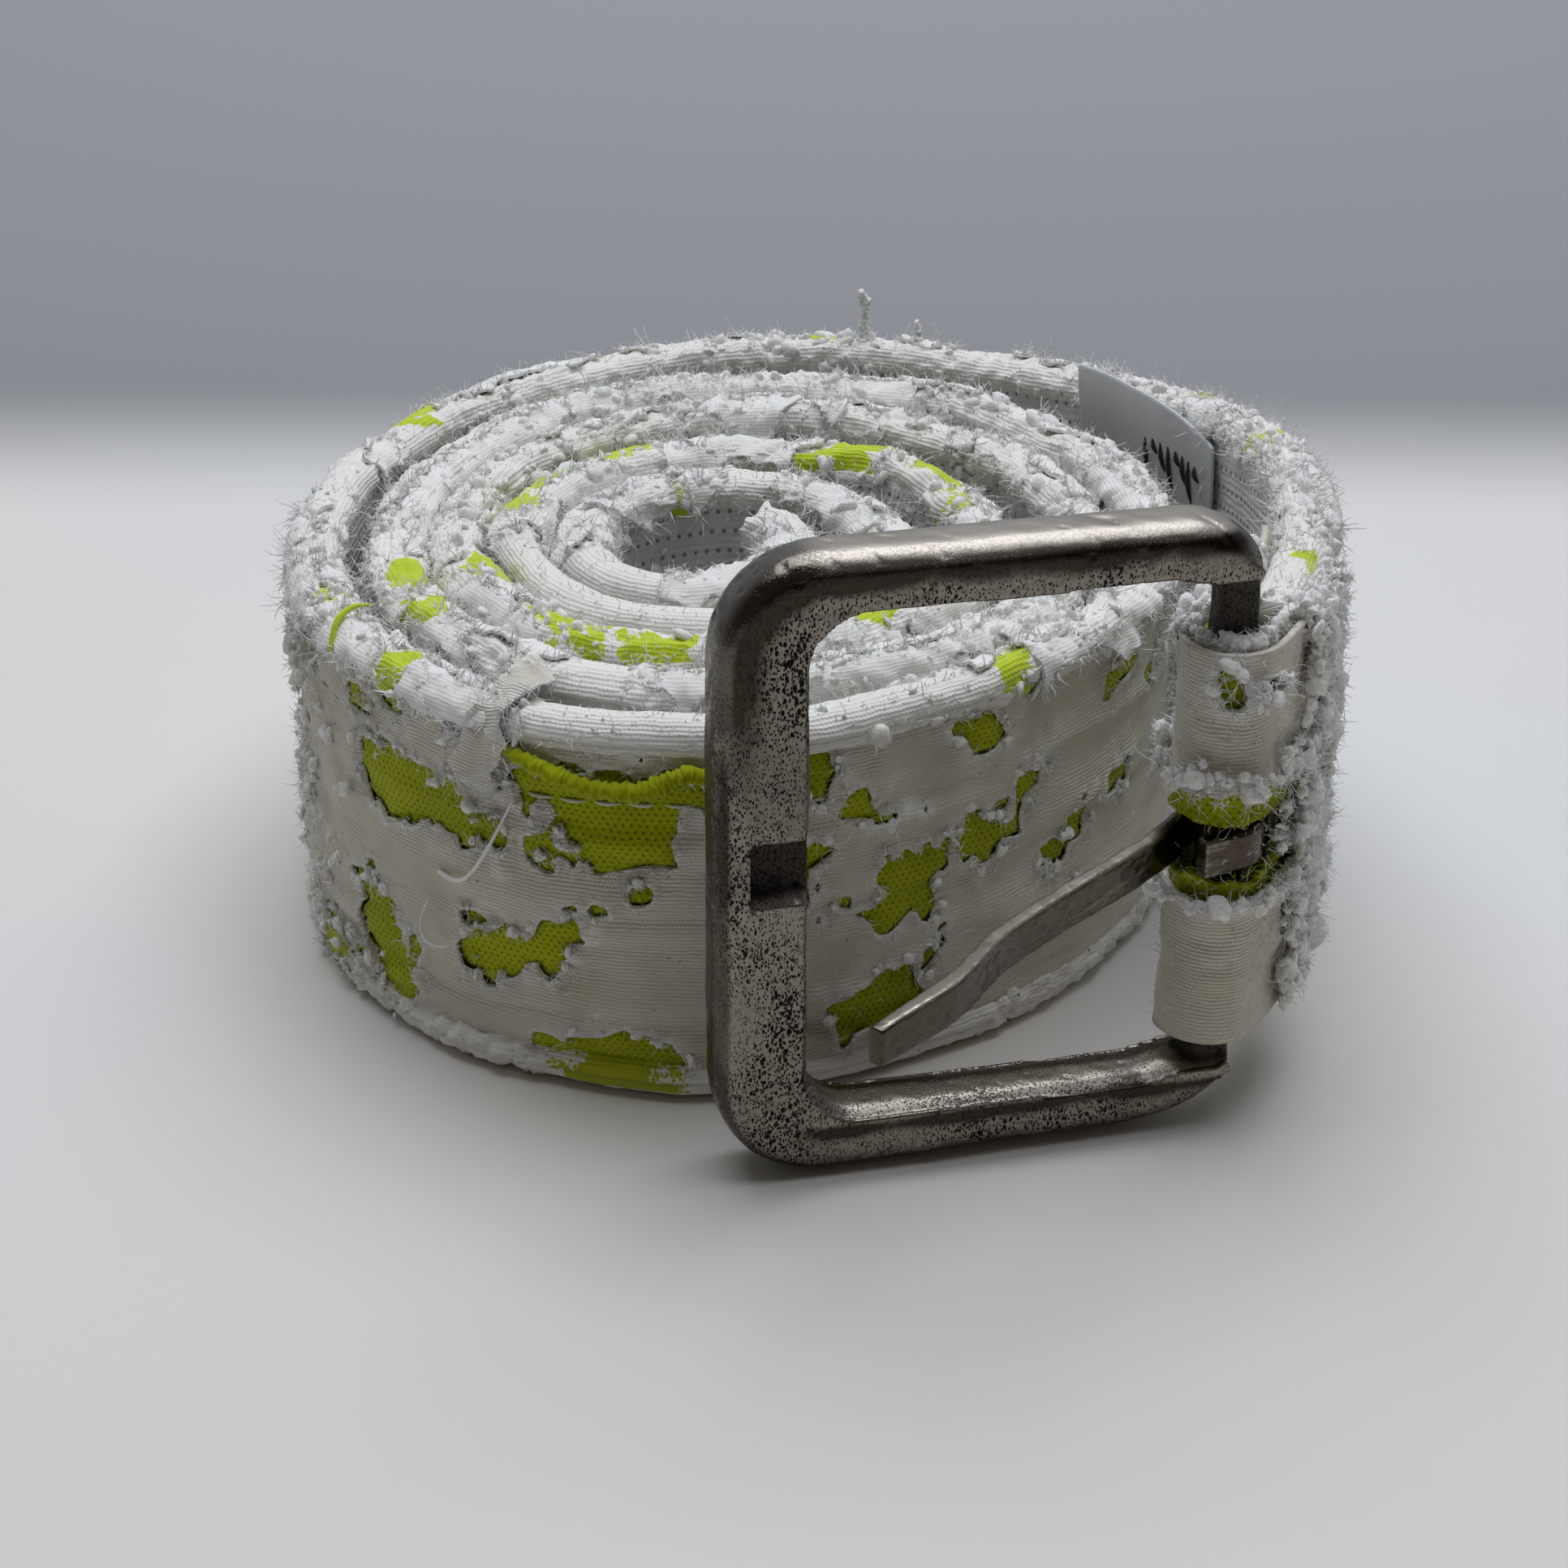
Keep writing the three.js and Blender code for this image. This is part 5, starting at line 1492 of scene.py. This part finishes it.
def rounded_slab(outline, depth, width, bevel):
    """Rings of an outline, drawn in towards both faces, closed by one face at each end."""
    following, preceding = np.roll(outline, -1, 0), np.roll(outline, 1, 0)
    along = unit(following - preceding)
    inward = np.stack([along[:, 1], -along[:, 0]], -1)
    rings = []
    quarter = np.linspace(0, math.pi / 2, 6)
    for sign, angles in ((1, quarter[::-1]), (-1, quarter)):
        for a in angles:
            inset = width * (1 - math.cos(a))
            w = sign * (depth / 2 - bevel * (1 - math.sin(a)))
            ring = outline + inward * inset
            rings.append(np.concatenate([ring, np.full((len(ring), 1), w)], 1))
    return np.concatenate(rings), tube_faces(len(outline), len(rings))


def apply_modifiers(piece):
    bpy.context.view_layer.update()
    graph = bpy.context.evaluated_depsgraph_get()
    mesh = bpy.data.meshes.new_from_object(piece.evaluated_get(graph))
    piece.modifiers.clear()
    piece.data = mesh


def voxel_smooth(piece, voxel, rounds):
    """Rebuilds the piece as one closed skin of even faces, then rounds its corners."""
    remesh = piece.modifiers.new("remesh", "REMESH")
    remesh.mode = "VOXEL"
    remesh.voxel_size = voxel * MM
    apply_modifiers(piece)
    soften = piece.modifiers.new("soften", "SMOOTH")
    soften.factor = 0.5
    soften.iterations = rounds
    apply_modifiers(piece)
    piece.data.polygons.foreach_set("use_smooth", np.ones(len(piece.data.polygons), bool))


def box_solid(low, high):
    x, y, z = zip(low, high)
    verts = [(a, b, c) for a in x for b in y for c in z]
    faces = [(0, 1, 3, 2), (4, 6, 7, 5), (0, 4, 5, 1), (2, 3, 7, 6), (0, 2, 6, 4), (1, 5, 7, 3)]
    return np.array(verts, float), np.array(faces)


def points_of(piece):
    """The mesh's points in millimetres."""
    points = np.zeros(len(piece.data.vertices) * 3)
    piece.data.vertices.foreach_get("co", points)
    return points.reshape(-1, 3) / MM


def move_verts(piece, change):
    normals = np.zeros(len(piece.data.vertices) * 3)
    piece.data.vertex_normals.foreach_get("vector", normals)
    points = change(points_of(piece), normals.reshape(-1, 3))
    piece.data.vertices.foreach_set("co", (points * MM).ravel())
    piece.data.update()


def casting():
    """The frame's slab and its heel bar, joined into one skin."""
    slab = make("cast_frame", *rounded_slab(frame_outline(), FRAME_DEPTH, BEVEL_WIDTH, BEVEL_DEPTH))
    half, end = HEEL_BAR_HALF, SHOULDER_HALF_HEIGHT + 1.5
    bar_piece = make("heel_bar_part", *box_solid((-half, -end, -half), (half, end, half)))
    bevel = bar_piece.modifiers.new("bevel", "BEVEL")
    bevel.width, bevel.segments = HEEL_BAR_BEVEL * MM, 3
    apply_modifiers(bar_piece)
    joined = bmesh.new()
    joined.from_mesh(slab.data)
    joined.from_mesh(bar_piece.data)
    joined.to_mesh(slab.data)
    joined.free()
    bpy.data.objects.remove(bar_piece)
    voxel_smooth(slab, 0.26, 4)
    return slab


def cast_skin(points, normals):
    """Waves and pits of the casting, and the notch for the prong in the outer bar."""
    u, v, w = points.T
    waves = 0.10 * fractal(u / 7 + w / 5, v / 7, 120) + 0.03 * noise(u / 1.3 + w, v / 1.3, 124)
    pitting = 0.10 * smooth((noise(u / 0.8 + w, v / 0.8 - w, 126) - 0.45) / 0.4)
    points = points + normals * (waves - pitting)[:, None]
    floor_w = FRAME_DEPTH / 2 - NOTCH_DEPTH + 0.12 * noise(u / 0.7, v / 0.7, 128)
    across = (u > NOTCH_U[0]) & (u < NOTCH_U[1])
    beside = np.abs(v - (FRAME_MIDDLE_Z - NOTCH_Z)) < NOTCH_HEIGHT / 2
    cut = across & beside & (w > 0)
    points[cut, 2] = np.minimum(points[cut, 2], floor_w[cut])
    return place_on_bar(points, FRAME_YAW, FRAME_MIDDLE_Z)


def distance_from_rim(u, v):
    """Millimetres in from the frame's outer edge, with its rounded corners."""
    beside_u, beside_v = FRAME_LENGTH - u, FRAME_HALF_HEIGHT - np.abs(v)
    corner_u, corner_v = np.maximum(OUTER_CORNER - beside_u, 0), np.maximum(OUTER_CORNER - beside_v, 0)
    straight = np.minimum(beside_u, beside_v)
    return np.where(corner_u * corner_v > 0, OUTER_CORNER - np.hypot(corner_u, corner_v), straight)


def soiled(u, v, w):
    """1 on the heel bar and on the notch's floor, where the patina is thick."""
    stub = smooth((3.2 - np.hypot(u, w)) / 0.5) * smooth((21.6 - np.abs(v)) / 0.5)
    beside = np.abs(v + NOTCH_Z - FRAME_MIDDLE_Z) < NOTCH_HEIGHT / 2 + 0.25
    notch = (u > NOTCH_U[0]) & (u < NOTCH_U[1] + 0.3) & beside
    notch = notch & (w > 0) & (w < FRAME_DEPTH / 2 - NOTCH_DEPTH + 0.5)
    return np.maximum(stub, notch)


def make_frame():
    slab = casting()
    move_verts(slab, cast_skin)
    u, v, w = back_from_bar(points_of(slab), FRAME_YAW, FRAME_MIDDLE_Z)
    uneven = noise(u / 5, w / 4, 129) + 0.5 * noise(u / 1.6, v / 1.6 + w, 133)
    from_rim, from_opening = distance_from_rim(u, v), v - OPENING_HALF_HEIGHT
    # The casting's tone is painted light: dark bands where the metal would mirror the dark room, partly its
    # brown patina, and bright painted highlights along the top rim and the lower arm's inner edge.
    on_bar = smooth((u - 32) / 4)
    high = smooth((-6 - v + 2.5 * uneven) / 15)
    band_off_rim = np.maximum(smooth((from_rim - 0.9) / 0.8), 0.9 * on_bar)
    band = smooth((3.9 + 1.2 * on_bar + 0.35 * uneven - from_rim) / (2.0 + 1.6 * on_bar)) * band_off_rim
    low_arm = smooth((v - 17) / 4) * (1 - on_bar)
    lower_dark_band = 0.85 * smooth((2.5 + 0.2 * uneven - from_opening) / 1.2) * smooth((from_opening - 0.5) / 0.8)
    back = smooth((0.2 - w) / 1.6) * smooth((1.2 - from_opening) / 0.8)
    side = 0.6 * smooth((1.3 - from_rim) / 0.6) * (1 - high)
    # Painted dark reflection: the band inside the rim of the top arm and outer bar, the dark band and dark
    # back of the lower arm, and the outer bar's dark outer edge.
    painted_dark_reflection = np.maximum(np.maximum(high * band, low_arm * np.maximum(lower_dark_band, back)), side * on_bar)
    # Painted highlights, where there are also fewer pits: the top rim and the lower arm's inner edge.
    painted_highlight_rim = smooth((1.7 - from_rim) / 0.8) * high * (1 - 0.5 * on_bar)
    painted_highlight_arm = 0.45 * smooth((1.3 - from_opening) / 0.8) * low_arm
    # Tone attribute: low where a dark reflection is painted.
    point_values(slab.data, "tone_with_painted_reflections", 0.95 - 0.95 * painted_dark_reflection)
    point_values(slab.data, "pitted", 1 - 0.85 * np.maximum(painted_highlight_rim, painted_highlight_arm))
    point_values(slab.data, "patina", soiled(u, v, w))
    finish_piece(slab, frame_metal, "frame", ["buckle_frame"])


PRONG_YAW, PRONG_Z, PRONG_WIDTH, PRONG_HALF = 0.86, 25.5, 3.4, 0.65
PRONG_CURL_RADIUS, PRONG_LENGTH, PRONG_W, TIP_W = 2.9, 42.8, -1.6, 0.1
PRONG_BUTT = (4.4, 1.4)


def prong_line():
    """The strip's middle line, side view, from its cut butt round the bar to the tip."""
    angles = np.radians(np.linspace(60, 279, 26))
    curl = np.stack([PRONG_CURL_RADIUS * np.cos(angles), PRONG_CURL_RADIUS * np.sin(angles)], -1)
    u = np.concatenate([np.linspace(5, 23, 8), np.linspace(25, 35.5, 12), np.linspace(37, PRONG_LENGTH, 6)])
    w = PRONG_W + (TIP_W - PRONG_W) * smooth((u - 25) / 10.5)
    bow = -0.35 * np.sin(np.pi * np.clip((u - 5) / 24, 0, 1))
    return softened(np.concatenate([[PRONG_BUTT], curl, np.stack([u, w + bow], -1)]), 2)


def prong_section():
    """The strip's section, as places across it and through it: round corners, crowned faces."""
    half, round_off = PRONG_WIDTH / 2, 0.3
    section = []
    for cv, cn, start in ((1, 1, 0), (-1, 1, 90), (-1, -1, 180), (1, -1, 270)):
        centre_v, centre_n = cv * (half - round_off), cn * (PRONG_HALF - round_off)
        section += arc_points(centre_v, centre_n, round_off, start, start + 90, 4)
    section = np.array(section)
    crown = 0.16 * (1 - (section[:, 0] / half) ** 2) * np.sign(section[:, 1])
    return section[:, 0], section[:, 1] + crown


def bent_strip():
    line = prong_line()
    along = unit(np.gradient(line, axis=0))
    normal = np.stack([along[:, 1], -along[:, 0]], -1)
    across, through = prong_section()
    rings = []
    for k, (point, side) in enumerate(zip(line, normal)):
        size = 0.9 + 0.1 * np.clip((len(line) - 1 - k) / 3, 0, 1)
        n = through * size
        rings.append(np.stack([point[0] + side[0] * n, across * size, point[1] + side[1] * n], -1))
    return np.concatenate(rings), tube_faces(len(across), len(rings))


def rubbed_skin(points, normals):
    u, v, w = points.T
    waves = 0.05 * noise(u / 2.4, v / 1.2 + w, 130) + 0.03 * noise(u / 0.7, v / 0.5, 131)
    return place_on_bar(points + normals * waves[:, None], PRONG_YAW, PRONG_Z)


def make_prong():
    piece = make("prong_strip", *bent_strip())
    voxel_smooth(piece, 0.16, 2)
    move_verts(piece, rubbed_skin)
    placed = points_of(piece)
    height = placed[:, 2]
    length = np.hypot(*(placed[:, :2] - BAR).T)
    u, v, w = back_from_bar(placed, PRONG_YAW, PRONG_Z)
    sheltered = smooth((7.5 - length) / 3)
    # Painted highlight along the strip's top edge.
    top_edge = smooth((height - PRONG_Z - 1.35) / 0.3) * (1 - sheltered)
    # Painted lighter reflection on the cut butt, brightest along its edges.
    butt = smooth((w - 0.3) / 0.6) * smooth((u - 2.2) / 0.8) * smooth(6 - u)
    edges = smooth((np.abs(v) - 1.1) / 0.3) + smooth((u - 4.4) / 0.3)
    scuffs_and_painted_highlight = 0.08 + 0.3 * noise(length / 4, height / 0.4, 132) - 0.5 * sheltered
    scuffs_and_painted_highlight = scuffs_and_painted_highlight + butt * (0.55 + 0.5 * np.minimum(edges, 1))
    # Tone attribute: random scuffs, darker patina near the bar, and the painted highlights.
    point_values(piece.data, "tone_with_painted_reflections", np.maximum(0.8 * top_edge, scuffs_and_painted_highlight))
    point_values(piece.data, "pitted", 1 - 0.55 * top_edge)
    finish_piece(piece, prong_metal, "prong", ["prong"])


make_frame()
make_prong()

# ---- table, light and camera, in metres ----
TABLE_HALF_SIZE = 3.0
# The table's far edge is out of focus: pale before the first distance, grey past the second.
FAR_EDGE = (0.096, 0.142)
CAMERA_PLACE = (-0.00123, -0.2679, 0.15215)
CAMERA_DOWN, CAMERA_ROLL = 0.475, 0.006
LENS, SENSOR = 78.26, 36.0
ROOM_DARK, ROOM_LIGHT = (0.055, 0.050, 0.041), (0.42, 0.45, 0.49)
SOFTBOX_PLACE, SOFTBOX_TARGET = (0.02, 0.14, 0.62), (0, 0.0, 0.02)
SOFTBOX_SIZE, SOFTBOX_POWER, SOFTBOX_COLOUR = 0.64, 3.5, (0.95, 1.0, 1.09)


def stage_material():
    """Pale table; beyond its far edge the ground is a soft grey."""
    shader = Shader("pale table")
    y = shader.node("SeparateXYZ", {"Vector": shader.position()}).outputs["Y"]
    edge = shader.plus(y, shader.times(shader.noise(shader.position(), 3.0, 1.0), 0.006))
    limits = {"Value": edge, "From Min": FAR_EDGE[0], "From Max": FAR_EDGE[1]}
    beyond = shader.node("MapRange", limits, interpolation_type="SMOOTHSTEP")
    far = shader.ramp(y, 0.13, 0.36)
    grey = shader.mix(far, (0.275, 0.278, 0.282), (0.40, 0.398, 0.402))
    warm = shader.ramp(shader.noise(shader.position(), 7.0, 2.0), 0.4, 0.6)
    pale = shader.mix(warm, (0.765, 0.755, 0.735), (0.79, 0.755, 0.70))
    colour = shader.mix(beyond.outputs["Result"], pale, grey)
    shader.set(Base_Color=colour, Roughness=0.55, Specular_IOR_Level=0.25)
    return shader.material


def make_stage():
    size = TABLE_HALF_SIZE / MM
    verts = np.array([(-size, -size, 0), (size, -size, 0), (size, size, 0), (-size, size, 0)])
    floor = make("table", verts, np.array([[0, 1, 2, 3]]))
    floor.data.materials.append(stage_material())


def make_light():
    data = bpy.data.lights.new("overhead softbox", "AREA")
    data.shape, data.size = "SQUARE", SOFTBOX_SIZE
    data.energy, data.color = SOFTBOX_POWER, SOFTBOX_COLOUR
    lamp = bpy.data.objects.new("overhead softbox", data)
    bpy.context.scene.collection.objects.link(lamp)
    lamp.location = SOFTBOX_PLACE
    aim = Vector(SOFTBOX_TARGET) - Vector(SOFTBOX_PLACE)
    lamp.rotation_euler = aim.to_track_quat("-Z", "Y").to_euler()


def make_camera():
    forward = Vector((0, math.cos(CAMERA_DOWN), -math.sin(CAMERA_DOWN)))
    level_right = Vector((1, 0, 0))
    level_up = level_right.cross(forward)
    right = level_right * math.cos(CAMERA_ROLL) + level_up * math.sin(CAMERA_ROLL)
    up = level_up * math.cos(CAMERA_ROLL) - level_right * math.sin(CAMERA_ROLL)
    data = bpy.data.cameras.new("camera")
    data.lens, data.sensor_width = LENS, SENSOR
    data.clip_start, data.clip_end = 0.01, 20
    camera = bpy.data.objects.new("camera", data)
    bpy.context.scene.collection.objects.link(camera)
    turned = Matrix((right, up, -forward)).transposed().to_4x4()
    camera.matrix_world = Matrix.Translation(CAMERA_PLACE) @ turned
    bpy.context.scene.camera = camera


def make_world():
    """Dim room: darker towards the viewer's side and overhead, lighter behind the object."""
    world = bpy.data.worlds.new("studio")
    world.use_nodes = True
    tree = world.node_tree
    axes = tree.nodes.new("ShaderNodeSeparateXYZ")
    tree.links.new(tree.nodes.new("ShaderNodeTexCoord").outputs["Generated"], axes.inputs[0])
    share = tree.nodes.new("ShaderNodeMapRange")
    share.inputs["From Min"].default_value, share.inputs["From Max"].default_value = -0.35, 0.75
    tree.links.new(axes.outputs["Y"], share.inputs["Value"])
    blend = tree.nodes.new("ShaderNodeMix")
    blend.data_type = "RGBA"
    tree.links.new(share.outputs["Result"], blend.inputs["Factor"])
    blend.inputs["A"].default_value = (*ROOM_DARK, 1.0)
    blend.inputs["B"].default_value = (*ROOM_LIGHT, 1.0)
    tree.links.new(blend.outputs["Result"], tree.nodes["Background"].inputs["Color"])
    bpy.context.scene.world = world


make_stage()
make_world()
make_light()
bpy.context.scene.view_settings.view_transform = "Standard"
make_camera()
